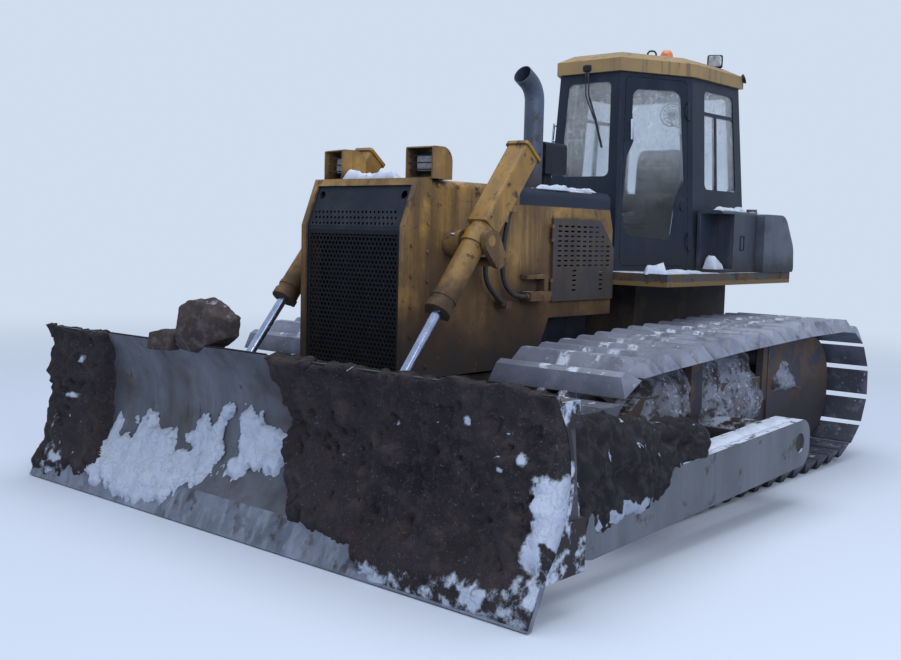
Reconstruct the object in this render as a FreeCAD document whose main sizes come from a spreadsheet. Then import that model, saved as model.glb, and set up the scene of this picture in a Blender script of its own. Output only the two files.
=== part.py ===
# Swamp-track bulldozer with a straight tilting blade
# Frame: +X forwards to the blade, +Y to the machine's left, +Z up, origin on the ground under the middle.
import FreeCAD, Part
import math
import os
import re
from FreeCAD import Placement, Rotation, Vector

doc = FreeCAD.newDocument("bulldozer")

# Driving sizes in millimetres (angles in degrees): name, value, what it is
SIZES = [
    ("reach_front", 2631.0, "cutting edge tip ahead of the origin"),
    ("run_gap", 0.3, "gap between pieces that seat on each other"),
    ("pin_gap", 0.08, "radial gap round a pin in its bore"),
    ("track_gauge", 2300.0, "between the middles of the two tracks"),
    ("shoe_wide", 950.0, "length of a track shoe across the track"),
    ("shoe_long", 190.0, "shoe along the track"),
    ("shoe_high", 88.0, "height of the swamp shoe above the chain"),
    ("shoe_ridge", 52.0, "flat top of the shoe along the track"),
    ("shoe_end_slope", 42.0, "how far the shoe's ends lean inwards"),
    ("shoe_count", 40.0, "shoes in one track"),
    ("link_high", 100.0, "height of a chain link"),
    ("link_thick", 50.0, "thickness of a chain rail"),
    ("rail_gauge", 150.0, "between the middles of the two chain rails"),
    ("idler_x", 930.0, "idler axle"),
    ("idler_z", 500.0, "idler axle above the ground"),
    ("sprocket_x", -1980.0, "sprocket axle"),
    ("sprocket_z", 565.0, "sprocket axle above the ground"),
    ("sprocket_apex", 540.0, "shoe tips round the sprocket"),
    ("sprocket_teeth", 23.0, "teeth of the sprocket"),
    ("sprocket_thick", 64.0, "thickness of the sprocket"),
    ("roller_r", 110.0, "bottom roller rim"),
    ("roller_count", 7.0, "bottom rollers each side"),
    ("roller_first_x", 490.0, "front bottom roller"),
    ("roller_last_x", -1490.0, "rear bottom roller"),
    ("carrier_r", 72.0, "carrier roller rim"),
    ("carrier_front_x", -190.0, "front carrier roller"),
    ("carrier_rear_x", -1250.0, "rear carrier roller"),
    ("carrier_lift", 22.0, "how far the carrier rollers lift the top run"),
    ("axle_r", 32.0, "roller and idler axles"),
    ("frame_wide", 300.0, "track frame across"),
    ("frame_low", 425.0, "underside of the track frame's box"),
    ("cheek_low", 290.0, "lower edge of the track frame's cheeks"),
    ("frame_front_x", 585.0, "front of the track frame's box"),
    ("frame_rear_x", -1540.0, "rear of the track frame's box"),
    ("frame_high", 700.0, "top of the track frame"),
    ("frame_cheek", 38.0, "cheek plates of the track frame"),
    ("post_out", 14.0, "carrier roller posts outside the cheeks"),
    ("guard_r", 385.0, "guard plate round the final drive"),
    ("guard_thick", 20.0, "guard plate round the final drive"),
    ("hull_wide", 800.0, "main frame across"),
    ("hull_low", 420.0, "belly of the main frame"),
    ("hull_deck", 800.0, "deck of the main frame"),
    ("hull_rear_x", -2350.0, "back of the rear drive case"),
    ("beam_x", 330.0, "equaliser beam"),
    ("beam_z", 560.0, "equaliser beam"),
    ("beam_long", 190.0, "equaliser beam fore and aft"),
    ("beam_high", 150.0, "equaliser beam height"),
    ("pivot_x", -1180.0, "track frame pivot shaft"),
    ("pivot_z", 560.0, "track frame pivot shaft"),
    ("pivot_r", 75.0, "track frame pivot shaft"),
    ("nose_x", 1697.0, "front face of the radiator guard"),
    ("nose_back_x", 1474.0, "back edge of the radiator guard"),
    ("nose_wide", 882.0, "radiator guard across"),
    ("nose_low", 600.0, "bottom of the radiator guard"),
    ("nose_kink", 1708.0, "height where the front face starts to lean back"),
    ("nose_high", 1991.0, "top of the radiator guard"),
    ("nose_lean", 111.0, "how far the top front edge leans back"),
    ("nose_wall", 42.0, "side wall of the radiator guard"),
    ("grille_thick", 8.0, "grille plate"),
    ("nose_inset", 14.0, "grille behind the guard's front edge"),
    ("nose_ridge", 22.0, "plain ridge under the nose's bend"),
    ("mesh_pitch", 58.0, "spacing of the grille's holes"),
    ("mesh_strand", 12.0, "strand between the grille's holes"),
    ("mesh_edge", 6.0, "plain border of the grille"),
    ("slot_pitch", 34.0, "spacing of the small holes above the bend"),
    ("slot_high", 1790.0, "upper row of those holes"),
    ("port_r", 28.0, "ports in the upper plate"),
    ("port_z", 1893.0, "height of the ports"),
    ("port_in", 50.0, "ports in from the plate's sides"),
    ("hood_rear_x", -437.0, "back edge of the hood"),
    ("hood_wide", 880.0, "hood across"),
    ("hood_split_x", 630.0, "seam between the hood's front and rear parts"),
    ("hood_side", 120.0, "height of the hood's rolled side"),
    ("hood_round", 60.0, "rounding of the hood's shoulder"),
    ("hood_wall", 10.0, "hood and side panel sheet"),
    ("door_front_x", 275.0, "front edge of the engine side door"),
    ("door_rear_x", -468.0, "rear edge of the engine side door"),
    ("door_low", 1240.0, "bottom of the engine side door"),
    ("door_high", 1795.0, "top of the engine side door"),
    ("door_corner_x", -290.0, "where the door's rear corner is cut off"),
    ("door_corner_z", 1600.0, "lower end of the cut corner"),
    ("door_wall", 24.0, "engine side door"),
    ("door_sheet", 5.0, "sheet of the engine side door"),
    ("door_rim", 30.0, "rim of the engine side door"),
    ("slot_long", 46.0, "cooling slot"),
    ("slot_tall", 13.0, "cooling slot"),
    ("cowl_rear_x", -640.0, "back of the instrument cowl"),
    ("cowl_wide", 560.0, "instrument cowl across"),
    ("cowl_high", 1930.0, "top of the instrument cowl"),
    ("pipe_x", 250.0, "exhaust pipe"),
    ("pipe_y", 250.0, "exhaust pipe left of the middle"),
    ("pipe_r", 66.0, "exhaust pipe"),
    ("pipe_wall", 5.0, "exhaust pipe"),
    ("pipe_high", 2750.0, "top of the exhaust pipe"),
    ("pipe_bend", 150.0, "bend of the exhaust pipe's mouth"),
    ("cleaner_x", 45.0, "air pre-cleaner"),
    ("cleaner_y", 195.0, "air pre-cleaner left of the middle"),
    ("cleaner_long", 250.0, "air pre-cleaner box fore and aft"),
    ("cleaner_wide", 210.0, "air pre-cleaner box across"),
    ("cleaner_low", 2100.0, "underside of the air pre-cleaner box"),
    ("cleaner_tall", 215.0, "height of the air pre-cleaner box"),
    ("cleaner_neck_r", 55.0, "air pre-cleaner neck"),
    ("nose_lamp_y", 358.0, "nose lamps off the middle"),
    ("nose_lamp_x", 1500.0, "front of the nose lamps"),
    ("hose_r", 16.0, "hoses beside the hood"),
    ("hose_y", 505.0, "hoses left and right of the middle"),
    ("ferrule_long", 48.0, "fittings at the hoses' ends"),
    ("nose_lamp_wide", 215.0, "nose lamp housing"),
    ("nose_lamp_high", 188.0, "nose lamp housing"),
    ("nose_lamp_long", 175.0, "nose lamp housing"),
    ("nose_lamp_sheet", 9.0, "nose lamp housing wall"),
    ("lamp_knocked", 12.0, "degrees that the right lamp is knocked outwards"),
    ("nose_lamp_deep", 108.0, "how deep the nose lamp lies in its housing"),
    ("cab_floor", 1430.0, "platform top under the cab"),
    ("cab_head", 2910.0, "top of the cab walls"),
    ("cab_front_x", -780.0, "front wall at the head"),
    ("cab_front_half", 270.0, "half the front wall at the head"),
    ("cab_mid_x", -1350.0, "door's rear edge at the head"),
    ("cab_half", 550.0, "half the cab at the head"),
    ("cab_rear_x", -2120.0, "rear wall at the head"),
    ("cab_taper", 85.0, "how far the walls spread from head to floor"),
    ("cab_wall", 42.0, "cab wall"),
    ("cab_sill", 40.0, "sill under the cab doors"),
    ("cab_post", 46.0, "posts beside the cab doors"),
    ("door_gap", 4.0, "gap round the cab doors"),
    ("handle_off", 34.0, "cab door handle off the door"),
    ("handle_r", 9.0, "cab door handle"),
    ("hinge_off", 14.0, "cab door hinge line outside the wall"),
    ("hinge_r", 11.0, "cab door hinge knuckles"),
    ("hatch_hinge_r", 9.0, "engine side door hinge knuckles"),
    ("glass_thick", 6.0, "window glass"),
    ("roof_lip", 95.0, "height of the roof's edge"),
    ("roof_crown", 60.0, "how far the roof's middle stands above its edge"),
    ("roof_over", 28.0, "roof overhang"),
    ("roof_bevel", 120.0, "width of the roof's sloping border"),
    ("deck_thick", 90.0, "platform plate"),
    ("deck_rear_x", -2500.0, "back of the platform"),
    ("deck_front_x", -480.0, "front of the platform"),
    ("deck_half", 900.0, "half the platform"),
    ("box_front_x", -1360.0, "front of the side boxes"),
    ("box_out", 850.0, "outer side of the side boxes"),
    ("box_high", 1905.0, "top of the side boxes"),
    ("niche_long", 200.0, "open niche at the front of the side boxes"),
    ("niche_sheet", 25.0, "plates above and below the niche"),
    ("tank_front_x", -1945.0, "front of the fuel tank"),
    ("tank_wrap", 8.0, "gap between the tank and the cab it wraps"),
    ("tank_rear_x", -2520.0, "back of the fuel tank"),
    ("tank_half", 920.0, "half the fuel tank"),
    ("tank_high", 1890.0, "top of the fuel tank"),
    ("trunnion_x", 1326.0, "lift cylinder trunnion"),
    ("trunnion_y", 660.0, "lift cylinder off the middle"),
    ("trunnion_z", 1640.0, "lift cylinder trunnion"),
    ("lug_x", 2170.0, "lift pin on the blade"),
    ("lug_z", 585.0, "lift pin on the blade"),
    ("barrel_r", 72.0, "lift cylinder barrel"),
    ("barrel_up", 700.0, "barrel above its trunnion"),
    ("barrel_down", 475.0, "barrel below its trunnion"),
    ("gland_long", 45.0, "gland at the barrel's lower end"),
    ("casing_start", 92.0, "casing of the barrel, above its trunnion"),
    ("casing_wide", 150.0, "casing across"),
    ("casing_deep", 158.0, "casing fore and aft"),
    ("pipe_off", 84.0, "pipe beside the barrel, off its middle"),
    ("side_pipe_r", 11.0, "pipe beside the barrel"),
    ("rod_r", 29.0, "lift cylinder rod"),
    ("rod_long", 1300.0, "rod from its eye to its inner end"),
    ("eye_r", 52.0, "rod eye"),
    ("eye_wide", 70.0, "rod eye across"),
    ("lug_gap", 9.0, "gap each side of the rod eye"),
    ("lug_thick", 32.0, "lift lugs on the blade"),
    ("yoke_thick", 36.0, "yoke arms"),
    ("trunnion_r", 34.0, "trunnion pins"),
    ("arm_pivot_x", -384.0, "push arm trunnion"),
    ("arm_pivot_z", 410.0, "push arm trunnion"),
    ("arm_clear", 136.0, "between the shoes and the push arms"),
    ("arm_wide", 190.0, "push arm across"),
    ("arm_high", 300.0, "push arm height"),
    ("arm_tip_x", 2215.0, "front end of the push arms"),
    ("arm_tip_z", 305.0, "front end of the push arms"),
    ("stub_r", 62.0, "trunnion stub of the track frame"),
    ("blade_over", 124.0, "how far the blade reaches past the push arms"),
    ("blade_high", 1000.0, "top of the blade"),
    ("blade_top_x", 2489.0, "top front edge of the blade"),
    ("blade_hollow_x", 2345.0, "deepest point of the blade's face"),
    ("blade_hollow_z", 590.0, "height of that point"),
    ("blade_foot_x", 2545.0, "bottom of the moldboard"),
    ("blade_foot_z", 185.0, "bottom of the moldboard"),
    ("blade_plate", 24.0, "moldboard plate"),
    ("rib_step", 480.0, "spacing of the outer ribs behind the blade"),
    ("bit_wide", 380.0, "end bits of the cutting edge"),
    ("edge_clear", 8.0, "cutting edge above the ground as parked"),
    ("brace_in", 151.0, "tilt cylinder and brace inside the arms' outer side"),
    ("brace_top_z", 800.0, "tilt cylinder pin on the blade"),
    ("brace_foot_x", 850.0, "tilt cylinder pin on the arm"),
    ("brace_r", 58.0, "tilt cylinder barrel"),
    ("drawbar_pin_r", 25.0, "drawbar pin bore"),
    ("drawbar_z", 520.0, "middle of the drawbar"),
    ("drawbar_plate", 40.0, "drawbar plates"),
    ("drawbar_slot", 95.0, "drawbar jaw"),
    ("drawbar_wide", 200.0, "drawbar across"),
    ("drawbar_long", 281.0, "drawbar behind the drive case"),
    ("drawbar_end", 72.0, "from the pin bore to the drawbar's end"),
    ("pad_bolt_r", 12.5, "bolt holes in the rear pad"),
    ("pad_wide", 520.0, "bolt spacing across"),
    ("pad_high", 260.0, "bolt spacing upwards"),
    ("pad_deep", 60.0, "depth of the bolt holes"),
    ("pad_z", 900.0, "middle of the bolt pattern"),
]

sheet = doc.addObject("Spreadsheet::Sheet", "Sizes")
for row, (alias, value, meaning) in enumerate(SIZES, start=1):
    sheet.set(f"A{row}", meaning)
    sheet.set(f"B{row}", str(value))
    sheet.setAlias(f"B{row}", alias)
doc.recompute()


def size(alias):
    """The value of one cell of the sheet."""
    return float(getattr(sheet, alias))


def linked(formula):
    """A sheet formula such as 'hull_wide / 2' with each name pointing at its cell."""
    return re.sub(r"[a-z]\w*", lambda word: "Sizes." + word.group(0), formula)


sub_parts = []


def keep(label, thing):
    """Name a finished sub-part; it is written under this name."""
    thing.Label = label
    sub_parts.append(thing)
    return thing


# Outlines and the objects made from them

def outline(points, radius=0.0):
    """Closed loop through (a, b) points; a corner is rounded by radius, or by its own third number."""
    corners = []
    for index, point in enumerate(points):
        here = Vector(point[0], point[1], 0)
        following = points[(index + 1) % len(points)]
        to_before = Vector(points[index - 1][0], points[index - 1][1], 0) - here
        to_after = Vector(following[0], following[1], 0) - here
        wanted = point[2] if len(point) > 2 else radius
        half = to_before.getAngle(to_after) / 2
        if wanted <= 0 or half > math.radians(89):
            corners.append((here, None, here))
            continue
        room = 0.49 * min(to_before.Length, to_after.Length)
        cut_back = min(wanted / math.tan(half), room)
        round_r = cut_back * math.tan(half)
        start = here + to_before.normalize() * cut_back
        end = here + to_after.normalize() * cut_back
        inwards = (to_before + to_after).normalize()
        middle = here + inwards * (round_r / math.sin(half) - round_r)
        corners.append((start, middle, end))
    edges = []
    for index, (start, middle, end) in enumerate(corners):
        if middle is not None:
            edges.append(Part.Arc(start, middle, end))
        following = corners[(index + 1) % len(corners)][0]
        if (following - end).Length > 1e-6:
            edges.append(Part.LineSegment(end, following))
    return edges


PLANES = {"XY": ("XY_Plane", 1), "XZ": ("XZ_Plane", -1), "YZ": ("YZ_Plane", 1)}


def pad(name, plane, edges, start, depth):
    """A body padded from one sketch, from start towards +Z, +Y or +X; depth is a sheet formula."""
    role, facing = PLANES[plane]
    body = doc.addObject("PartDesign::Body", name)
    sketch = body.newObject("Sketcher::SketchObject", name + "_sketch")
    plane_object = [item for item in body.Origin.OriginFeatures if item.Role == role][0]
    sketch.AttachmentSupport = (plane_object, [""])
    sketch.MapMode = "FlatFace"
    sketch.AttachmentOffset = Placement(Vector(0, 0, start * facing), Rotation())
    sketch.addGeometry(edges, False)
    feature = body.newObject("PartDesign::Pad", name + "_pad")
    feature.Profile = sketch
    feature.setExpression("Length", linked(depth))
    feature.Reversed = facing < 0
    body.Tip = feature
    return body


def box(name, corner, long, wide, high):
    """A box from its low corner; its three sizes are sheet formulas."""
    thing = doc.addObject("Part::Box", name)
    for side, formula in (("Length", long), ("Width", wide), ("Height", high)):
        thing.setExpression(side, linked(formula))
    thing.Placement = Placement(Vector(*corner), Rotation())
    return thing


def bar(name, start, end, radius):
    """A round bar between two points; its radius is a sheet formula."""
    along = Vector(*end) - Vector(*start)
    thing = doc.addObject("Part::Cylinder", name)
    thing.setExpression("Radius", linked(radius))
    thing.Height = along.Length
    thing.Placement = Placement(Vector(*start), Rotation(Vector(0, 0, 1), along))
    return thing


def fuse(name, things):
    """Several pieces that meet, made one solid."""
    thing = doc.addObject("Part::MultiFuse", name)
    thing.Shapes = things
    thing.Refine = True
    return thing


def cut(name, base, tools):
    """A piece with other pieces taken away from it."""
    thing = doc.addObject("Part::Cut", name)
    thing.Base = base
    thing.Tool = tools[0] if len(tools) == 1 else fuse(name + "_tools", tools)
    thing.Refine = True
    return thing


def mirror(name, thing):
    """The same piece on the machine's other side."""
    other = doc.addObject("Part::Mirroring", name)
    other.Source = thing
    other.Normal = Vector(0, 1, 0)
    return other


def pair(label, thing):
    """A left piece and its mirror image as one node of two solids."""
    both = doc.addObject("Part::Compound", label + "_both")
    both.Links = [thing, mirror(thing.Name + "_right", thing)]
    return keep(label, both)


def group(label, things):
    """Like pieces that don't touch, as one node."""
    several = doc.addObject("Part::Compound", label + "_all")
    several.Links = things
    return keep(label, several)


def computed(name, shape):
    """A shape that is worked out here from the sheet's sizes."""
    feature = doc.addObject("Part::Feature", name)
    feature.Shape = shape
    return feature


# Track: the belt of chain pins round the idler, two carrier rollers, the sprocket and the last bottom roller

pin_to_apex = size("link_high") / 2 + size("shoe_high")
idler_pin_r = size("idler_z") - pin_to_apex
sprocket_pin_r = size("sprocket_apex") - pin_to_apex
roller_z = pin_to_apex + size("link_high") / 2 + size("roller_r") + size("run_gap")
track_y = size("track_gauge") / 2
arm_out = track_y + size("shoe_wide") / 2 + size("arm_clear") + size("arm_wide")
blade_half = arm_out + size("blade_over")
brace_y = arm_out - size("brace_in")
BLADE_HALF = "(track_gauge / 2 + shoe_wide / 2 + arm_clear + arm_wide + blade_over)"


def top_run_z(x):
    """Height of the chain pins in the top run."""
    front_z = size("idler_z") + idler_pin_r
    rear_z = size("sprocket_z") + sprocket_pin_r
    share = (size("idler_x") - x) / (size("idler_x") - size("sprocket_x"))
    return front_z + share * (rear_z - front_z) + size("carrier_lift")


def carrier_z(x):
    """Axle height of a carrier roller under the top run."""
    return top_run_z(x) - size("link_high") / 2 - size("carrier_r") - size("run_gap")


def belt(circles):
    """Arcs and runs of a belt round circles (x, z, r), with its inside on the left."""
    facings = []
    for index, (x, z, r) in enumerate(circles):
        next_x, next_z, next_r = circles[(index + 1) % len(circles)]
        along = math.atan2(next_z - z, next_x - x)
        facings.append(along - math.acos((r - next_r) / math.hypot(next_x - x, next_z - z)))
    spans = []
    for index, (x, z, r) in enumerate(circles):
        start = facings[index - 1]
        turn = (facings[index] - start) % (2 * math.pi)
        spans.append(("arc", r * turn, (x, z, r, start)))
        next_x, next_z, next_r = circles[(index + 1) % len(circles)]
        outwards = (math.cos(facings[index]), math.sin(facings[index]))
        leave = (x + r * outwards[0], z + r * outwards[1])
        meet = (next_x + next_r * outwards[0], next_z + next_r * outwards[1])
        spans.append(("run", math.dist(leave, meet), (leave, meet)))
    return spans


def belt_point(spans, travelled):
    """The point of the belt after a length of it."""
    for kind, length, place in spans:
        if travelled <= length:
            break
        travelled -= length
    if kind == "arc":
        x, z, r, start = place
        angle = start + travelled / r
        return Vector(x + r * math.cos(angle), 0, z + r * math.sin(angle))
    (from_x, from_z), (to_x, to_z) = place
    share = travelled / length
    return Vector(from_x + share * (to_x - from_x), 0, from_z + share * (to_z - from_z))


wrap = size("link_high") / 2 + size("run_gap")
track_spans = belt([
    (size("roller_last_x"), roller_z, size("roller_r") + wrap),
    (size("idler_x"), size("idler_z"), idler_pin_r),
    (size("carrier_front_x"), carrier_z(size("carrier_front_x")), size("carrier_r") + wrap),
    (size("carrier_rear_x"), carrier_z(size("carrier_rear_x")), size("carrier_r") + wrap),
    (size("sprocket_x"), size("sprocket_z"), sprocket_pin_r),
])
shoe_count = int(size("shoe_count"))
track_length = sum(span[1] for span in track_spans)
pitch = track_length / shoe_count
pins = [belt_point(track_spans, index * pitch) for index in range(shoe_count)]
across = Vector(0, 1, 0)


def flat_of(pin_r):
    """How near the middle of a link comes to the axle that it runs round."""
    return math.sqrt(pin_r ** 2 - (pitch / 2) ** 2) - size("link_high") / 2


def link_frame(index):
    """Middle of a link, its direction of travel and the direction away from the track frame."""
    here = pins[index]
    there = pins[(index + 1) % shoe_count]
    travel = (there - here).normalize()
    return (here + there) * 0.5, travel, Vector(travel.z, 0, -travel.x)


def chain_reach(x, z):
    """How near the chain's inner side comes to an axle."""
    nearest = None
    for index in range(shoe_count):
        middle, travel, outwards = link_frame(index)
        offset = middle - Vector(x, 0, z)
        if abs(offset.dot(travel)) <= 0.6 * pitch:
            reach = offset.dot(outwards) - size("link_high") / 2
            nearest = reach if nearest is None else min(nearest, reach)
    return nearest


def shoe(index):
    """One swamp shoe: a low prism with four sloping sides."""
    middle, travel, outwards = link_frame(index)
    low = size("link_high") / 2 - 3
    high = pin_to_apex
    half_long = size("shoe_long") / 2
    half_ridge = size("shoe_ridge") / 2
    half_wide = size("shoe_wide") / 2
    half_top = half_wide - size("shoe_end_slope")
    wedge = Part.makeWedge(-half_long, low, -half_wide, -half_top, -half_ridge,
                           half_long, high, half_wide, half_top, half_ridge)
    place = Placement(middle + across * track_y, Rotation(travel, outwards, across, "XYZ"))
    return wedge.transformed(place.toMatrix(), True)


def chain_rail(middle_y):
    """One closed rail of links."""
    blocks = []
    for offset in (size("link_high") / 2, -size("link_high") / 2):
        corners = []
        for index in range(shoe_count):
            out_here = link_frame(index)[2]
            out_before = link_frame(index - 1)[2]
            split = (out_here + out_before).normalize()
            corners.append(pins[index] + split * (offset / split.dot(out_here)))
        face = Part.Face(Part.makePolygon(corners + corners[:1]))
        face.translate(Vector(0, middle_y - size("link_thick") / 2, 0))
        blocks.append(face.extrude(Vector(0, size("link_thick"), 0)))
    return blocks[0].cut(blocks[1])


def make_tracks():
    half_gauge = size("rail_gauge") / 2
    pieces = [shoe(index) for index in range(shoe_count)]
    pieces.append(chain_rail(track_y + half_gauge))
    loop = chain_rail(track_y - half_gauge).multiFuse(pieces)
    left = keep("track_left", computed("track_left_loop", loop))
    keep("track_right", mirror("track_right_loop", left))


def make_sprockets():
    steps = int(size("sprocket_teeth"))
    tip = sprocket_pin_r + 10
    root = sprocket_pin_r - 36
    corners = []
    for tooth in range(steps):
        for share, r in ((-0.32, root), (-0.14, tip), (0.14, tip), (0.32, root)):
            angle = 2 * math.pi * (tooth + share) / steps
            corners.append((size("sprocket_x") + r * math.cos(angle), size("sprocket_z") + r * math.sin(angle)))
    start = track_y - size("sprocket_thick") / 2
    pair("sprockets", pad("sprocket_left", "XZ", outline(corners), start, "sprocket_thick"))


def make_idlers():
    x, z = size("idler_x"), size("idler_z")
    half = (size("rail_gauge") + size("link_thick")) / 2
    tread_r = flat_of(idler_pin_r) - size("run_gap")
    tread = wheel("idler_tread", (x, track_y - half, z), (x, track_y + half, z), tread_r)
    flange = wheel("idler_flange", (x, track_y - 36, z), (x, track_y + 36, z), tread_r + 26)
    recess = wheel("idler_recess", (x, track_y + half - 55, z), (x, track_y + half + 1, z), tread_r - 45)
    hub = bar("idler_hub", (x, track_y - half, z), (x, track_y + half, z), "2.6 * axle_r")
    reach = size("frame_wide") / 2
    axle = bar("idler_axle", (x, track_y - reach, z), (x, track_y + reach, z), "axle_r")
    disc = cut("idler_wheel", fuse("idler_disc", [tread, flange]), [recess])
    pair("idlers", fuse("idler_left", [disc, hub, axle]))


def wheel(name, start, end, r):
    """A round piece between two points whose radius is fitted to the chain."""
    thing = bar(name, start, end, "axle_r")
    thing.setExpression("Radius", None)
    thing.Radius = r
    return thing


def roller_row(label, places, flange):
    """Double-rimmed rollers on their axles at (x, z) places, their rims fitted to the chain."""
    half = (size("rail_gauge") + size("link_thick")) / 2
    reach = size("frame_wide") / 2 - size("frame_cheek")
    rollers = []
    for number, (x, z) in enumerate(places, start=1):
        name = f"{label}_{number}"
        rim = chain_reach(x, z) - size("run_gap")
        body = wheel(name + "_rim", (x, track_y - half, z), (x, track_y + half, z), rim)
        middle = wheel(name + "_flange", (x, track_y - 38, z), (x, track_y + 38, z), rim + flange)
        axle = bar(name + "_axle", (x, track_y - reach, z), (x, track_y + reach, z), "axle_r")
        rollers.append(fuse(name, [body, middle, axle]))
    both = rollers + [mirror(roller.Name + "_right", roller) for roller in rollers]
    return group(label, both)


def make_rollers():
    count = int(size("roller_count"))
    step = (size("roller_last_x") - size("roller_first_x")) / (count - 1)
    roller_row("bottom_rollers", [(size("roller_first_x") + index * step, roller_z) for index in range(count)], 12)
    roller_row("carrier_rollers", [(x, carrier_z(x)) for x in (size("carrier_front_x"), size("carrier_rear_x"))], 12)


def make_track_frames():
    inner = track_y - size("frame_wide") / 2
    outer = track_y + size("frame_wide") / 2
    low, high = size("frame_low"), size("frame_high")
    front, rear = size("frame_front_x"), size("frame_rear_x")
    axle_x, axle_z = size("idler_x"), size("idler_z")
    beam = pad("track_frame_box", "XZ", outline([(rear, low), (front, low), (front, high - 60), (front - 90, high),
               (rear + 120, high), (rear, high - 130)]), inner, "frame_wide")
    cheek_points = [(rear, size("cheek_low")), (front, size("cheek_low")), (axle_x + 90, axle_z - 70),
                    (axle_x + 90, axle_z + 70), (front, high - 60), (front - 90, high), (rear + 120, high),
                    (rear, high - 130)]
    cheeks = [pad("track_frame_cheek_in", "XZ", outline(cheek_points), inner, "frame_cheek"),
              pad("track_frame_cheek_out", "XZ", outline(cheek_points), outer - size("frame_cheek"), "frame_cheek")]
    holes = [bar("idler_slot", (axle_x, inner - 1, axle_z), (axle_x, outer + 1, axle_z), "axle_r + pin_gap")]
    posts = []
    for number, x in enumerate((size("carrier_front_x"), size("carrier_rear_x")), start=1):
        post = pad(f"carrier_post_{number}", "XZ", outline([(x - 85, high - 170), (x + 85, high - 170),
                   (x + 68, top_run_z(x) + 18), (x - 68, top_run_z(x) + 18)]), outer - size("frame_cheek"),
                   "frame_cheek + post_out")
        posts.append(post)
    guard_front, guard_rear = size("carrier_rear_x"), size("sprocket_x") - size("guard_r")
    guard_low, guard_high = size("sprocket_z") - size("guard_r"), size("sprocket_z") + size("guard_r")
    guard = pad("drive_guard", "XZ", outline([(guard_front, size("cheek_low")), (guard_front, guard_high),
                (guard_rear, guard_high, size("guard_r")), (guard_rear, guard_low, size("guard_r")),
                (size("frame_rear_x") - 200, guard_low, 120)]), outer - 2, "guard_thick + 2")
    stub = bar("arm_stub", (size("arm_pivot_x"), outer - 20, size("arm_pivot_z")),
               (size("arm_pivot_x"), arm_out - 12, size("arm_pivot_z")), "stub_r")
    collar = bar("arm_collar", (size("arm_pivot_x"), outer - 20, size("arm_pivot_z")),
                 (size("arm_pivot_x"), arm_out - size("arm_wide") - 30, size("arm_pivot_z")), "stub_r + 45")
    whole = fuse("track_frame_whole", [beam, guard, stub, collar] + cheeks + posts)
    pair("track_frames", cut("track_frame_left", whole, holes))


def make_final_drives():
    x, z = size("sprocket_x"), size("sprocket_z")
    hull_side = size("hull_wide") / 2
    face = size("sprocket_thick") / 2
    case_r = flat_of(sprocket_pin_r) - 20
    inner = wheel("drive_case_in", (x, hull_side, z), (x, track_y - face, z), case_r)
    outer = wheel("drive_case_out", (x, track_y + face, z), (x, track_y + size("frame_wide") / 2 - 10, z), case_r)
    cap = bar("drive_cap", (x, track_y + face, z), (x, track_y + size("frame_wide") / 2 - 3, z), "3.4 * axle_r")
    left = [inner, fuse("drive_cover", [outer, cap])]
    group("final_drives", left + [mirror(thing.Name + "_right", thing) for thing in left])


# Main frame, engine and nose

deck_low = size("cab_floor") - size("deck_thick")
hull_side = size("hull_wide") / 2


def make_main_frame():
    rear, front = size("hull_rear_x"), size("nose_back_x")
    low, deck = size("hull_low"), size("hull_deck")
    hull = pad("hull", "XZ", outline([(rear, low + 60), (rear + 90, low), (front - 220, low), (front, low + 150),
               (front, deck), (-850, deck), (-900, deck_low), (rear, deck_low)]), -hull_side, "hull_wide")
    holes = []
    for number, (side, rise) in enumerate(((-1, -1), (-1, 1), (1, -1), (1, 1)), start=1):
        y = side * size("pad_wide") / 2
        z = size("pad_z") + rise * size("pad_high") / 2
        holes.append(bar(f"pad_hole_{number}", (rear - 1, y, z), (rear + size("pad_deep"), y, z), "pad_bolt_r"))
    keep("main_frame", cut("hull_drilled", hull, holes))


def make_cross_beams():
    inner = track_y - size("frame_wide") / 2
    beam_low = size("beam_z") - size("beam_high") / 2
    reach = inner - hull_side
    beam = doc.addObject("Part::Box", "equaliser_left")
    beam.setExpression("Length", linked("beam_long"))
    beam.setExpression("Height", linked("beam_high"))
    beam.setExpression("Width", linked("track_gauge / 2 - frame_wide / 2 - hull_wide / 2"))
    beam.Placement = Placement(Vector(size("beam_x") - size("beam_long") / 2, hull_side, beam_low), Rotation())
    shaft = bar("pivot_left", (size("pivot_x"), hull_side, size("pivot_z")),
                (size("pivot_x"), hull_side + reach, size("pivot_z")), "pivot_r")
    left = [beam, shaft]
    group("cross_beams", left + [mirror(thing.Name + "_right", thing) for thing in left])


def make_engine():
    keep("engine_block", box("engine", (-380, -300, size("hull_deck")), "1600", "600", "900"))
    keep("radiator_core", box("core", (size("nose_back_x") + 16, -size("nose_wide") / 2 + size("nose_wall") + 8,
         size("nose_low") + size("nose_wall")), "86", "nose_wide - 2 * nose_wall - 16", "1230"))


def nose_front(z):
    """The x of the guard's front face at a height."""
    if z <= size("nose_kink"):
        return size("nose_x")
    share = (z - size("nose_kink")) / (size("nose_high") - size("nose_kink"))
    return size("nose_x") - share * size("nose_lean")


def make_nose():
    back, low, high, wall = size("nose_back_x"), size("nose_low"), size("nose_high"), size("nose_wall")
    kink = size("nose_kink")
    shell = pad("guard_blank", "XZ", outline([(back, low), (nose_front(low), low), (nose_front(kink), kink),
                (nose_front(high), high), (back, high)]), -size("nose_wide") / 2, "nose_wide")
    hollow = box("guard_hollow", (back - 1, wall - size("nose_wide") / 2, low + wall),
                 "nose_x - nose_back_x + 2", "nose_wide - 2 * nose_wall", "nose_high - nose_low - 2 * nose_wall")
    keep("radiator_guard", cut("guard_shell", shell, [hollow]))
    make_grille()
    make_nose_plate()


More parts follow.
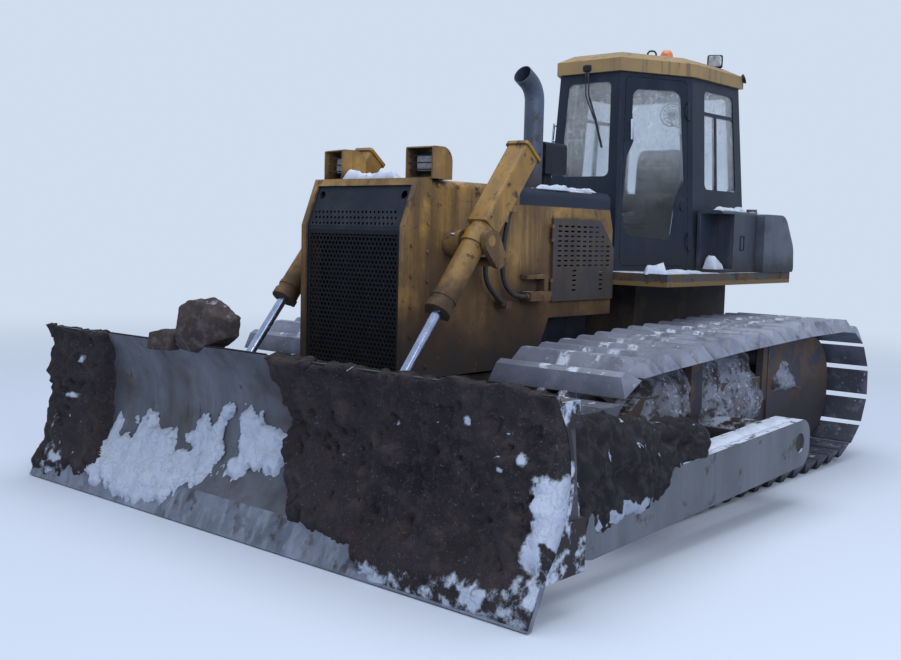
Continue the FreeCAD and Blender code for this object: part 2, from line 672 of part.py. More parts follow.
def hexagon(y, z, r, turned):
    """Closed six-sided wire about (y, z), r from its middle to a corner, turned by that many degrees."""
    corners = [Vector(0, y + r * math.cos(math.radians(turned + 60 * k)), z + r * math.sin(math.radians(turned + 60 * k)))
               for k in range(6)]
    return Part.makePolygon(corners + corners[:1])


def make_grille():
    """Plate below the nose's bend with six-sided holes in staggered rows."""
    gap, thick, pitch = size("run_gap"), size("grille_thick"), size("mesh_pitch")
    low = size("nose_low") + size("nose_wall") + gap
    high = size("nose_kink") - size("nose_ridge")
    half = size("nose_wide") / 2 - size("nose_wall") - gap
    front = size("nose_x") - size("nose_inset")
    border = Part.makePolygon([Vector(0, -half, low), Vector(0, half, low), Vector(0, half, high),
                               Vector(0, -half, high), Vector(0, -half, low)])
    row_step = pitch * math.sqrt(3) / 2
    rows = int((high - low - 2 * size("mesh_edge")) / row_step)
    columns = int((2 * half - 2 * size("mesh_edge")) / pitch)
    wires = [border]
    for row in range(rows):
        z = (low + high) / 2 + (row - (rows - 1) / 2) * row_step
        for column in range(columns - row % 2):
            y = (column - (columns - 1 - row % 2) / 2) * pitch
            wires.append(hexagon(y, z, (pitch - size("mesh_strand")) / math.sqrt(3), 30))
    plate = Part.makeFace(wires, "Part::FaceMakerBullseye").extrude(Vector(-thick, 0, 0))
    plate.translate(Vector(front, 0, 0))
    keep("grille", computed("grille_mesh", plate))


def make_nose_plate():
    """Plate above the grille: a ridge, then the leaning part with two ports and three rows of small holes."""
    gap, thick, inset_x = size("run_gap"), size("grille_thick"), size("nose_inset")
    low, kink = size("nose_kink") - size("nose_ridge") + gap, size("nose_kink")
    high = size("nose_high") - size("nose_wall") - gap
    half = size("nose_wide") / 2 - size("nose_wall") - gap
    skin = [(nose_front(low) - inset_x, low), (nose_front(kink) - inset_x, kink), (nose_front(high) - inset_x, high),
            (nose_front(high) - inset_x - thick, high), (nose_front(kink) - inset_x - thick, kink),
            (nose_front(low) - inset_x - thick, low)]
    blank = pad("nose_plate_blank", "XZ", outline(skin), -half, "nose_wide - 2 * nose_wall - 2 * run_gap")
    reach = Vector(-size("nose_lean") - 4 * thick, 0, 0)
    start = Vector(size("nose_x"), 0, 0)
    step = size("slot_pitch")
    holes = []
    for row in range(3):
        z = size("slot_high") - row * step
        shift = step / 2 * (row % 2)
        for column in range(int(2 * (half - 36) / step)):
            y = 36 - half + shift + column * step
            if y < half - 24:
                holes.append(Part.Face(hexagon(y, z, 11, 30)).extrude(reach).translated(start))
    port = size("port_r")
    for side in (-1, 1):
        y = side * (half - size("port_in"))
        holes.append(Part.Face(hexagon(y, size("port_z"), port, 0)).extrude(reach).translated(start))
    tools = computed("nose_plate_holes", Part.makeCompound(holes))
    keep("nose_plate", cut("nose_plate_drilled", blank, [tools]))


# Brackets on the side panels: low corner (x, z), then how long, how high and how deep they stand out
SIDE_BRACKETS = [(376, 1253, 228, 60, 92), (376, 1395, 228, 26, 60), (376, 1253, 40, 168, 60),
                 (772, 1818, 66, 46, 92), (862, 1754, 62, 44, 92), (800, 1216, 56, 46, 92)]


def make_hood():
    half, top, wall = size("hood_wide") / 2, size("nose_high"), size("hood_wall")
    low, bend = top - size("hood_side"), size("hood_round")
    section = [(-half, low), (-half, top, bend), (half, top, bend), (half, low), (half - wall, low),
               (half - wall, top - wall, bend - wall), (wall - half, top - wall, bend - wall), (wall - half, low)]
    keep("hood", pad("hood_front_sheet", "YZ", outline(section), size("hood_split_x"), "nose_back_x - hood_split_x"))
    keep("hood_rear", pad("hood_rear_sheet", "YZ", outline(section), size("hood_rear_x"),
         "hood_split_x - run_gap - hood_rear_x"))
    front, rear = size("nose_back_x"), size("door_rear_x") - 12
    panel_points = [(front, 820), (front, low), (size("hood_rear_x"), low), (rear, low - 140), (rear, 1130),
                    (size("door_front_x"), 1130), (size("door_front_x") + 150, 820)]
    panel = pad("side_panel_blank", "XZ", outline(panel_points), half - wall, "hood_wall")
    hole = pad("side_panel_hole", "XZ", outline(engine_door_points(28)), half - wall - 1, "hood_wall + 2")
    cover = cut("side_panel_cut", panel, [hole])
    axis_x, axis_y = hatch_hinge()
    added = []
    for low, tall in HATCH_HINGES:
        for start in (low - 22 - size("run_gap"), low + tall + size("run_gap")):
            added.append(bar("hatch_pin", (axis_x, axis_y, start), (axis_x, axis_y, start + 22), "hatch_hinge_r"))
            added.append(box("hatch_foot", (axis_x - 7, half - 2, start), "14", f"{axis_y - half + 2}", "22"))
    for number, (x, z, long, high, deep) in enumerate(SIDE_BRACKETS, start=1):
        added.append(box(f"side_bracket_{number}", (x, half - 2, z), f"{long}", f"{deep} + 2", f"{high}"))
    pair("side_panels", fuse("side_panel_left", [cover] + added + hose_fittings()))
    cowl_half = size("cowl_wide") / 2
    keep("cowl", pad("cowl_blank", "YZ", outline([(-cowl_half, size("cab_floor")), (-cowl_half, size("cowl_high"), 60),
         (cowl_half, size("cowl_high"), 60), (cowl_half, size("cab_floor"))]), size("cowl_rear_x"),
         "hood_rear_x - cowl_rear_x"))


def engine_door_points(inset):
    """Outline of the engine side door, drawn in by inset."""
    front, rear = size("door_front_x") - inset, size("door_rear_x") + inset
    low, high = size("door_low") + inset, size("door_high") - inset
    return [(front, low), (front, high), (size("door_corner_x"), high), (rear, size("door_corner_z") - inset / 2),
            (rear, low)]


# Cooling slots of the engine side door: first x, top, rows, columns, step down, step along
DOOR_SLOTS = [(225, 1750, 9, 9, 33, 74), (43, 1450, 5, 1, 33, 74), (-287, 1450, 5, 1, 33, 74)]

# Engine side door hinges: height of the door's knuckle and its length
HATCH_HINGES = [(1300, 70), (1660, 70)]


def hatch_hinge():
    """Where the upright hinge line of the left engine side door stands."""
    return size("door_front_x") + 10, size("hood_wide") / 2 + size("door_wall") - 2


def make_engine_doors():
    start = size("hood_wide") / 2 + size("run_gap")
    sheet_thick, rim = size("door_sheet"), size("door_rim")
    leaf = pad("engine_door_blank", "XZ", outline(engine_door_points(0)), start, "door_wall")
    hollow = pad("engine_door_hollow", "XZ", outline(engine_door_points(rim)), start - 1,
                 "door_wall - door_sheet + 1")
    inner_face = start + size("door_wall") - sheet_thick - 1
    slots = []
    for left, top, rows, columns, down, along in DOOR_SLOTS:
        for row in range(rows):
            for column in range(columns):
                x, z = left - column * along, top - row * down
                if slot_fits(x, z):
                    slots.append(Part.makeBox(size("slot_long"), sheet_thick + 2, size("slot_tall"),
                                              Vector(x - size("slot_long"), inner_face, z - size("slot_tall"))))
    slot_tools = computed("engine_door_slots", Part.makeCompound(slots))
    axis_x, axis_y = hatch_hinge()
    knuckles = []
    for low, tall in HATCH_HINGES:
        knuckles.append(bar("hatch_knuckle", (axis_x, axis_y, low), (axis_x, axis_y, low + tall), "hatch_hinge_r"))
        knuckles.append(box("hatch_strap", (axis_x - 20, axis_y - 8, low), "20", "8", str(tall)))
    pressed = cut("engine_door_pressed", leaf, [hollow])
    slotted = cut("engine_door_slotted", pressed, [slot_tools])
    door = fuse("engine_door_whole", [slotted] + knuckles)
    keep("engine_door_left", door)
    keep("engine_door_right", mirror("engine_door_right_blank", door))


def slot_fits(x, z):
    """Whether a cooling slot from x backwards lies inside the door's rim and its cut corner."""
    margin = size("door_rim") + 8
    if x > size("door_front_x") - margin or x - size("slot_long") < size("door_rear_x") + margin:
        return False
    across_cut = size("door_corner_x") - size("door_rear_x")
    share = (x - size("slot_long") - margin - size("door_rear_x")) / across_cut
    ceiling = size("door_corner_z") + share * (size("door_high") - size("door_corner_z"))
    return z < min(ceiling, size("door_high") - margin)


def make_exhaust():
    x, y, base, top, bend = (size(name) for name in ("pipe_x", "pipe_y", "nose_high", "pipe_high", "pipe_bend"))
    turn = math.radians(62)
    start = Vector(x, y, base)
    knee = Vector(x, y, top - bend * math.sin(turn) - 45)
    half = Vector(x + bend * (1 - math.cos(turn / 2)), y, knee.z + bend * math.sin(turn / 2))
    end = Vector(x + bend * (1 - math.cos(turn)), y, knee.z + bend * math.sin(turn))
    mouth = end + Vector(math.sin(turn), 0, math.cos(turn)) * 70
    path = Part.Wire([Part.LineSegment(start, knee).toShape(), Part.Arc(knee, half, end).toShape(),
                      Part.LineSegment(end, mouth).toShape()])
    solids = []
    for r in (size("pipe_r"), size("pipe_r") - size("pipe_wall")):
        ring = Part.Wire(Part.makeCircle(r, start, Vector(0, 0, 1)))
        solids.append(path.makePipeShell([ring], True, False))
    keep("exhaust_pipe", computed("exhaust_tube", solids[0].cut(solids[1])))
    x, y, low = size("cleaner_x"), size("cleaner_y"), size("cleaner_low")
    neck = bar("cleaner_neck", (x, y, base), (x, y, low + 1), "cleaner_neck_r")
    half_long, half_wide = size("cleaner_long") / 2, size("cleaner_wide") / 2
    section = [(y - half_wide, low), (y - half_wide, low + size("cleaner_tall"), 30),
               (y + half_wide, low + size("cleaner_tall"), 30), (y + half_wide, low)]
    drum = pad("cleaner_box", "YZ", outline(section), x - half_long, "cleaner_long")
    keep("air_cleaner", fuse("cleaner", [neck, drum]))


def make_nose_lamps():
    y, wide, high = size("nose_lamp_y"), size("nose_lamp_wide"), size("nose_lamp_high")
    front, rear = size("nose_lamp_x"), size("nose_lamp_x") - size("nose_lamp_long")
    low, skin, deep = size("nose_high") + size("run_gap"), size("nose_lamp_sheet"), size("nose_lamp_deep")
    hood = pad("lamp_hood", "XZ", outline([(front, low), (front, low + high, 14), (rear, low + high, 120),
               (rear, low)]), y - wide / 2, "nose_lamp_wide")
    mouth = box("lamp_mouth", (front - deep, y - wide / 2 + skin, low + skin), "nose_lamp_deep + 1",
                "nose_lamp_wide - 2 * nose_lamp_sheet", "nose_lamp_high - 2 * nose_lamp_sheet")
    left = cut("lamp_housing_left", hood, [mouth])
    unit = pad("lamp_unit", "YZ", outline([(y - 78, low + 42), (y + 78, low + 42), (y + 78, low + 146),
               (y - 78, low + 146)], 14), front - deep, "38")
    group("nose_lamps", [left, turned_lamp("lamp_housing_right", left)])
    group("nose_lamp_units", [unit, turned_lamp("lamp_unit_right", unit)])


def turned_lamp(name, thing):
    """The right lamp's piece: the left one's mirror image, knocked outwards about the lamp's middle."""
    other = mirror(name, thing)
    middle = Vector(size("nose_lamp_x") - size("nose_lamp_long") / 2, -size("nose_lamp_y"), 0)
    other.Placement = Placement(Vector(0, 0, 0), Rotation(Vector(0, 0, 1), -size("lamp_knocked")), middle)
    return other


# Hoses from the upper to the lower fittings beside the hood, seen from the left: x, z of each route's points
HOSES = {
    "hose_rear": [(817, 1810), (868, 1640), (875, 1435), (822, 1339), (726, 1284), (626, 1283)],
    "hose_front": [(915, 1736), (1003, 1612), (1050, 1460), (1005, 1340), (870, 1255)],
}


def hose_route(name):
    """Straight runs joined by arcs, each as large as its two runs allow, and the smallest arc's radius."""
    points = [Vector(x, size("hose_y"), z) for x, z in HOSES[name]]
    edges, start, smallest = [], points[0], 1e9
    for before, corner, after in zip(points, points[1:], points[2:]):
        back, onward = (before - corner).normalize(), (after - corner).normalize()
        reach = 0.45 * min((before - corner).Length, (after - corner).Length)
        half_turn = (math.pi - back.getAngle(onward)) / 2
        smallest = min(smallest, reach / math.tan(half_turn))
        first, last = corner + back * reach, corner + onward * reach
        middle_way = (back + onward).normalize()
        bulge = reach * (1 / math.sin(half_turn) - 1 / math.tan(half_turn))
        edges += [Part.makeLine(start, first), Part.Arc(first, corner + middle_way * bulge, last).toShape()]
        start = last
    edges.append(Part.makeLine(start, points[-1]))
    return Part.Wire(edges), smallest


def make_hoses():
    for name in HOSES:
        route, smallest = hose_route(name)
        start = route.Edges[0]
        ring = Part.Wire(Part.makeCircle(size("hose_r"), start.valueAt(start.FirstParameter), start.tangentAt(0)))
        tube = computed(name + "_tube", route.makePipeShell([ring], True, False))
        keep(name + "_left", tube)
        keep(name + "_right", mirror(name + "_tube_right", tube))
        print(f"{name}: {route.Length:.1f} mm long, smallest radius {smallest:.0f} mm,",
              f"volume over section times length {tube.Shape.Volume / (math.pi * size('hose_r') ** 2 * route.Length):.4f}")


def hose_fittings():
    """Ferrules that the hoses' ends meet, each run on behind its hose's end in the hose's own direction."""
    ferrules = []
    for name in HOSES:
        for tip, behind in ((HOSES[name][0], HOSES[name][1]), (HOSES[name][-1], HOSES[name][-2])):
            end, inner = Vector(tip[0], size("hose_y"), tip[1]), Vector(behind[0], size("hose_y"), behind[1])
            away = (end - inner).normalize()
            ferrules.append(bar("ferrule", tuple(end), tuple(end + away * size("ferrule_long")), "hose_r + 5"))
    return ferrules


# Cab

def offset_loop(points, distances):
    """The same loop with each side moved outwards by its own distance; the loop runs leftwards round."""
    count = len(points)
    lines = []
    for index in range(count):
        ax, ay = points[index][:2]
        bx, by = points[(index + 1) % count][:2]
        length = math.hypot(bx - ax, by - ay)
        ux, uy = (bx - ax) / length, (by - ay) / length
        lines.append((ax + uy * distances[index], ay - ux * distances[index], ux, uy))
    moved = []
    for index in range(count):
        px, py, ux, uy = lines[index - 1]
        qx, qy, vx, vy = lines[index]
        reach = ((qx - px) * vy - (qy - py) * vx) / (ux * vy - uy * vx)
        moved.append((px + ux * reach, py + uy * reach))
    return moved


def plan(z, outwards=0.0):
    """The cab's six-sided plan at a height, leftwards round from its left front corner."""
    front, mid, rear = size("cab_front_x"), size("cab_mid_x"), size("cab_rear_x")
    narrow, half = size("cab_front_half"), size("cab_half")
    head = [(front, narrow), (mid, half), (rear, half), (rear, -half), (mid, -half), (front, -narrow)]
    spread = size("cab_taper") * (size("cab_head") - z) / (size("cab_head") - size("cab_floor"))
    return offset_loop(head, [spread + outwards] * 6)


def frustum(low_loop, low_z, high_loop, high_z):
    """A solid with flat sides between two like loops of (x, y) points."""
    low = [Vector(x, y, low_z) for x, y in low_loop]
    high = [Vector(x, y, high_z) for x, y in high_loop]
    faces = [Part.Face(Part.makePolygon(low + low[:1])), Part.Face(Part.makePolygon(high + high[:1]))]
    for index in range(len(low)):
        after = (index + 1) % len(low)
        faces.append(Part.Face(Part.makePolygon([low[index], low[after], high[after], high[index], low[index]])))
    solid = Part.Solid(Part.Shell(faces))
    if solid.Volume < 0:
        solid.reverse()
    return solid


WALLS = ["door", "side", "rear", "right side", "right door", "front"]


def wall_frame(wall):
    """Low corner of a cab wall, its axes along, up and outwards, and its outline in those axes."""
    number = WALLS.index(wall)
    floor, head = plan(size("cab_floor")), plan(size("cab_head"))
    after = (number + 1) % 6
    low_a = Vector(*floor[number], size("cab_floor"))
    low_b = Vector(*floor[after], size("cab_floor"))
    high_a = Vector(*head[number], size("cab_head"))
    high_b = Vector(*head[after], size("cab_head"))
    along = (low_b - low_a).normalize()
    rise = high_a - low_a
    up = (rise - along * rise.dot(along)).normalize()
    edges = [(0, 0), ((low_b - low_a).Length, 0), ((high_b - low_a).dot(along), (high_b - low_a).dot(up)),
             ((high_a - low_a).dot(along), (high_a - low_a).dot(up))]
    return low_a, along, up, along.cross(up), edges


def wall_plate(wall, face, outer, inner):
    """A plate in a cab wall from a flat face in its axes, outer and inner given as depths below its outside."""
    corner, along, up, outwards, _ = wall_frame(wall)
    plate = face.extrude(Vector(0, 0, inner - outer))
    place = Placement(corner - outwards * inner, Rotation(along, up, outwards, "XYZ"))
    return plate.transformed(place.toMatrix(), True)


def wall_point(wall, u, w, off=0.0):
    """A point at u along a cab wall and w up it, off outside its face."""
    corner, along, up, outwards, _ = wall_frame(wall)
    return corner + along * u + up * w + outwards * off


def wall_bar(wall, start, end, r):
    """A round bar between two (u, w, off) points of a cab wall."""
    a, b = wall_point(wall, *start), wall_point(wall, *end)
    return Part.makeCylinder(r, (b - a).Length, a, b - a)


def face_of(edges):
    """A flat face inside one closed loop of edges."""
    return Part.Face(Part.Wire([edge.toShape() for edge in edges]))


def inset(points, low, right, high, left):
    """A four-sided wall outline drawn in by its own distance on each side."""
    return offset_loop(points, [-low, -right, -high, -left])


# Cab windows by wall: how far in from the wall's lower, rear, upper and front side
WINDOWS = {
    "front": (705, 80, 70, 80),
    "side": (640, 110, 80, 190),
    "rear": (640, 100, 74, 100),
}

# Bars of the side window: height of the level bar, and how far back the upright one stands
WINDOW_BAR_W, WINDOW_BAR_U, WINDOW_BAR_WIDE = 1228, 400, 26

# Cab door window in the door's wall: along, up, rounding; it narrows beside the handle and the lock
DOOR_PANE = [(163, 1358, 70), (585, 1370, 70), (620, 700, 120), (543, 536, 100), (496, 240, 60), (108, 260, 60),
             (67, 435, 150), (109, 854, 120), (167, 969, 60), (154, 1191, 60)]


def window(wall, gap):
    """Flat face of a cab window, smaller by gap all round."""
    edges = inset(wall_frame(wall)[4], *[margin + gap for margin in WINDOWS[wall]])
    return face_of(outline(edges, 45))


def window_bars(wall, wider):
    """Flat faces of the side window's bars, wider by that much each side."""
    edges = inset(wall_frame(wall)[4], *WINDOWS[wall])
    half = WINDOW_BAR_WIDE / 2 + wider
    low, rear, front = edges[0][1] - 12, edges[1][0] + 12, edges[0][0] - 30
    level = [(front, WINDOW_BAR_W - half), (rear, WINDOW_BAR_W - half), (rear, WINDOW_BAR_W + half),
             (front, WINDOW_BAR_W + half)]
    upright = [(WINDOW_BAR_U - half, low), (WINDOW_BAR_U + half, low), (WINDOW_BAR_U + half, WINDOW_BAR_W),
               (WINDOW_BAR_U - half, WINDOW_BAR_W)]
    return [face_of(outline(level)), face_of(outline(upright))]


def door_face(gap):
    """Flat face of the left cab door in its wall, smaller by gap all round."""
    edges = wall_frame("door")[4]
    post = size("cab_post")
    return face_of(outline(inset(edges, size("cab_sill") + gap, post + gap, 34 + gap, post + gap), 40))


def door_window(gap):
    """Flat face of the left cab door's window, smaller by gap all round."""
    face = face_of(outline(DOOR_PANE))
    return face.makeOffset2D(-gap) if gap else face


# Cab door handle: along the wall, its lower and its upper end; lock: along and up
DOOR_HANDLE = (128, 975, 1125)
DOOR_LOCK = (600, 486)

# Cab door hinges: where the door's knuckle starts along the hinge line, and its length
HINGES = [(190, 80), (1180, 80)]
POST_SIDE, DOOR_SIDE = 1, -1


def hinge_line():
    """The cab door's hinge line: its foot and its direction."""
    corner, along, up, outwards, edges = wall_frame("door")
    line = inset(edges, 0, size("cab_post") + size("door_gap") / 2, 0, 0)
    low, high = (corner + along * u + up * w + outwards * size("hinge_off") for u, w in line[1:3])
    return low, (high - low).normalize()


def knuckle(start, end, side):
    """A hinge knuckle between two lengths along the hinge line, with its strap on the door's or the post's side."""
    foot, rise = hinge_line()
    outwards = wall_frame("door")[3]
    barrel = Part.makeCylinder(size("hinge_r"), end - start, foot + rise * start, rise)
    toward = rise.cross(outwards) * (24 * side)
    depth = outwards * (size("hinge_off") + 1)
    base = foot + rise * start - depth
    strap = Part.Face(Part.makePolygon([base, base + toward, base + toward + depth, base + depth, base]))
    return barrel.fuse(strap.extrude(rise * (end - start)))


def make_cab():
    floor, head, wall = size("cab_floor"), size("cab_head"), size("cab_wall")
    shell = frustum(plan(floor), floor, plan(head), head)
    shell = shell.cut(frustum(plan(floor + 40, -wall), floor + 40, plan(head + 10, -wall), head + 10))
    openings = []
    for side in WINDOWS:
        openings.append(wall_plate(side, window(side, 0), -5, wall + 25))
    openings.append(wall_plate("door", door_face(0), -5, wall + 25))
    openings += [hole.mirror(Vector(0, 0, 0), across) for hole in openings]
    shell = shell.cut(openings)
    added = [wall_plate("side", face, 4, wall - 8) for face in window_bars("side", 0)]
    for low, tall in HINGES:
        added += [knuckle(low - 26 - size("run_gap"), low - size("run_gap"), POST_SIDE),
                  knuckle(low + tall + size("run_gap"), low + tall + 26 + size("run_gap"), POST_SIDE)]
    added += [piece.mirror(Vector(0, 0, 0), across) for piece in added]
    keep("cab_shell", computed("cab_walls", shell.fuse(added)))


def make_cab_glass():
    gap, thick = size("run_gap"), size("glass_thick")
    panes = []
    for side in WINDOWS:
        pane = wall_plate(side, window(side, gap), 12, 12 + thick)
        if side == "side":
            pane = pane.cut([wall_plate(side, bar_face, 0, size("cab_wall")) for bar_face in window_bars(side, gap)])
            panes.append(pane.mirror(Vector(0, 0, 0), across))
        panes.append(pane)
    keep("cab_glass", computed("cab_panes", Part.makeCompound([solid for pane in panes for solid in pane.Solids])))
    left = keep("door_glass_left", computed("door_pane", wall_plate("door", door_window(gap), 12, 12 + thick)))
    keep("door_glass_right", mirror("door_pane_right", left))


def make_cab_doors():
    wall = size("cab_wall")
    leaf = wall_plate("door", door_face(size("door_gap")), 0, wall)
    leaf = leaf.cut(wall_plate("door", door_window(0), -5, wall + 5))
    lock = wall_bar("door", (*DOOR_LOCK, -2), (*DOOR_LOCK, 14), 20)
    leaf = leaf.fuse([lock] + [knuckle(low, low + tall, DOOR_SIDE) for low, tall in HINGES])
    left = keep("cab_door_left", computed("door_leaf", leaf))
    keep("cab_door_right", mirror("door_leaf_right", left))
    u, low, high = DOOR_HANDLE
    off = size("handle_off")
    rail = wall_bar("door", (u, low, off), (u, high, off), size("handle_r"))
    feet = [wall_bar("door", (u, w, 0), (u, w, off), size("handle_r") + 1) for w in (low + 14, high - 14)]
    left = keep("door_handle_left", computed("handle", rail.fuse(feet)))
    keep("door_handle_right", mirror("handle_right", left))


def make_roof():
    head, lip = size("cab_head"), size("roof_lip")
    over = size("roof_over")
    edge = plan(head, over)
    border = frustum(edge, head, edge, head + lip)
    crown = frustum(edge, head + lip, plan(head, over - size("roof_bevel")), head + lip + size("roof_crown"))
    keep("cab_roof", computed("roof_shell", border.fuse(crown).removeSplitter()))


def make_roof_fittings():
    top = size("cab_head") + size("roof_lip") + size("roof_crown") + size("run_gap")
    base = bar("beacon_base", (-1450, 260, top), (-1450, 260, top + 35), "58")
    dome = bar("beacon_dome", (-1450, 260, top + 35), (-1450, 260, top + 125), "50")
    keep("beacon", fuse("beacon_whole", [base, dome]))
    keep("roof_lamp", box("roof_lamp_body", (-2010, 360, top), "60", "110", "105"))


def make_seat():
    floor = size("cab_floor") + 40
    keep("seat_base", box("seat_box", (-1860, -210, floor), "500", "420", "300"))
    cushion = pad("cushion", "XZ", outline([(-1790, floor + 300), (-1320, floor + 300), (-1310, floor + 410),
                  (-1790, floor + 390)], 30), -240, "480")
    rest_x = -1790 - size("run_gap")
    back = pad("back_rest", "XZ", outline([(-1870, floor + 300, 30), (rest_x, floor + 300, 10),
               (rest_x, floor + 430, 90), (-1820, floor + 980, 35), (-1930, floor + 960, 35)]), -225, "450")
    group("seat_cushions", [cushion, back])


def make_controls():
    floor = size("cab_floor") + 40
    left = box("console_left", (-1700, 280, floor), "520", "150", "520")
    right = box("console_right", (-1700, -430, floor), "520", "150", "520")
    dash = pad("dash", "XZ", outline([(-900, floor), (-820, floor), (-800, floor + 640), (-930, floor + 560)]),
               -200, "400")
    group("cab_controls", [left, right, dash])


def make_platform():
    front, rear, half = size("deck_front_x"), size("deck_rear_x"), size("deck_half")
    keep("platform", pad("platform_plate", "XY", outline([(front, -half), (front, half), (rear, half), (rear, -half)]),
         deck_low, "deck_thick"))


def make_boxes_and_tank():
    floor, inner = size("cab_floor"), size("cab_half") + size("cab_taper") + 6
    section = [(inner, floor), (size("box_out"), floor), (size("box_out"), size("box_high"), 30),
               (inner, size("box_high"))]
    front, rear = size("box_front_x"), size("tank_front_x") + 4
    blank = pad("side_box_blank", "YZ", outline(section), rear, "box_front_x - tank_front_x - 4")
    sheet_thick = size("niche_sheet")
    niche = box("box_niche", (front - size("niche_long"), inner + sheet_thick, floor + sheet_thick),
                "niche_long + 1", f"{size('box_out') - inner}", "box_high - cab_floor - 2 * niche_sheet")
    pair("side_boxes", cut("side_box_left", blank, [niche]))
    front, rear, top = size("tank_front_x"), size("tank_rear_x"), size("tank_high")
    blank = pad("tank_body", "XZ", outline([(front, floor), (front, top, 20), (rear + 190, top, 150),
                (rear + 14, top - 259, 200), (rear, floor + 20, 30), (rear + 20, floor, 10)]), -size("tank_half"),
                "2 * tank_half")
    cab_rear = size("cab_rear_x") - size("cab_taper") - size("tank_wrap")
    notch = box("tank_notch", (cab_rear, -inner, floor - 1), f"{front - cab_rear + 1}", f"{2 * inner}",
                "tank_high - cab_floor + 2")
    cap = bar("tank_cap", (front - 45, size("tank_half") - 140, top - 2), (front - 45, size("tank_half") - 140,
              top + 38), "42")
    keep("fuel_tank", fuse("tank_whole", [cut("tank_notched", blank, [notch]), cap]))


# Blade and its linkage

def blade_circle():
    """Centre and radius (x, z, r) of the blade's hollow face."""
    arc = Part.Arc(Vector(size("blade_foot_x"), 0, size("blade_foot_z")),
                   Vector(size("blade_hollow_x"), 0, size("blade_hollow_z")),
                   Vector(size("blade_top_x"), 0, size("blade_high"))).toShape().Curve
    return arc.Center.x, arc.Center.z, arc.Radius


def blade_face(z, behind=0.0):
    """The x of the blade's face, or of a surface behind it, at a height."""
    x, middle, r = blade_circle()
    return x - math.sqrt((r + behind) ** 2 - (z - middle) ** 2)


def face_arc(low, high, behind):
    """The edge of a surface parallel to the blade's face, between two heights."""
    middle = (low + high) / 2
    return Part.Arc(Vector(blade_face(low, behind), low, 0), Vector(blade_face(middle, behind), middle, 0),
                    Vector(blade_face(high, behind), high, 0))


def back_beam(name, low, high, back_x):
    """A box beam across the blade's back, its front edges inside the plate."""
    plate = size("blade_plate")
    return pad(name, "XZ", outline([(back_x, low), (blade_face(low, plate), low), (blade_face(high, plate), high),
               (back_x, high)]), -blade_half, f"2 * {BLADE_HALF}")


def make_moldboard():
    plate, foot, top, half = size("blade_plate"), size("blade_foot_z"), size("blade_high"), blade_half
    sheet_edges = [face_arc(foot, top, 0),
                   Part.LineSegment(Vector(blade_face(top), top, 0), Vector(blade_face(top, plate), top, 0)),
                   face_arc(foot, top, plate),
                   Part.LineSegment(Vector(blade_face(foot, plate), foot, 0), Vector(blade_face(foot), foot, 0))]
    skin = pad("moldboard_skin", "XZ", sheet_edges, -half, f"2 * {BLADE_HALF}")
    tip = size("arm_tip_x")
    things = [skin, back_beam("lower_beam", foot, 430, tip), back_beam("upper_beam", 845, 965, tip + 75)]
    half_ribs = [blade_half - share * size("rib_step") - 30 for share in (0, 1, 2)] + [size("trunnion_y") / 2]
    rib_places = [0] + half_ribs + [-y for y in half_ribs]
    for number, y in enumerate(rib_places, start=1):
        rib = pad(f"rib_{number}", "XZ", outline([(tip + 35, 420), (blade_face(420, plate), 420),
                  (blade_face(640, plate / 2), 640), (blade_face(855, plate), 855), (tip + 85, 855)]), y - 11, "22")
        things.append(rib)
    eye_half = size("eye_wide") / 2 + size("lug_gap")
    pin_x, pin_z = size("lug_x"), size("lug_z")
    ear = [(pin_x - 66, pin_z - 62, 60), (blade_face(430, plate / 2), 425), (blade_face(700, plate / 2), 705),
           (pin_x - 66, pin_z + 62, 60)]
    for side in (-1, 1):
        for start in (side * size("trunnion_y") - eye_half - size("lug_thick"), side * size("trunnion_y") + eye_half):
            things.append(pad("lift_ear", "XZ", outline(ear), start, "lug_thick"))
    brace_z = size("brace_top_z")
    brace_ear = [(tip - 62, brace_z - 60, 50), (tip + 120, 700), (blade_face(900, plate / 2), 1040, 90),
                 (tip - 40, brace_z + 62, 55)]
    for side in (-1, 1):
        for start in (side * brace_y - 30.5 - 28, side * brace_y + 30.5):
            things.append(pad("brace_ear", "XZ", outline(brace_ear), start, "28"))
    keep("moldboard", fuse("moldboard_whole", things))


def make_cutting_edge():
    foot_x, foot_z, plate = size("blade_foot_x"), size("blade_foot_z"), size("blade_plate")
    tip_x, clear = size("reach_front"), size("edge_clear")
    section = outline([(tip_x, clear), (foot_x, foot_z), (blade_face(foot_z, plate), foot_z), (tip_x - 30, clear)])
    split = blade_half - size("bit_wide")
    middle = pad("edge_middle", "XZ", section, -split, f"2 * ({BLADE_HALF} - bit_wide)")
    bit = pad("end_bit_left", "XZ", section, split + 2, "bit_wide - 2")
    group("cutting_edge", [middle, bit, mirror("end_bit_right", bit)])


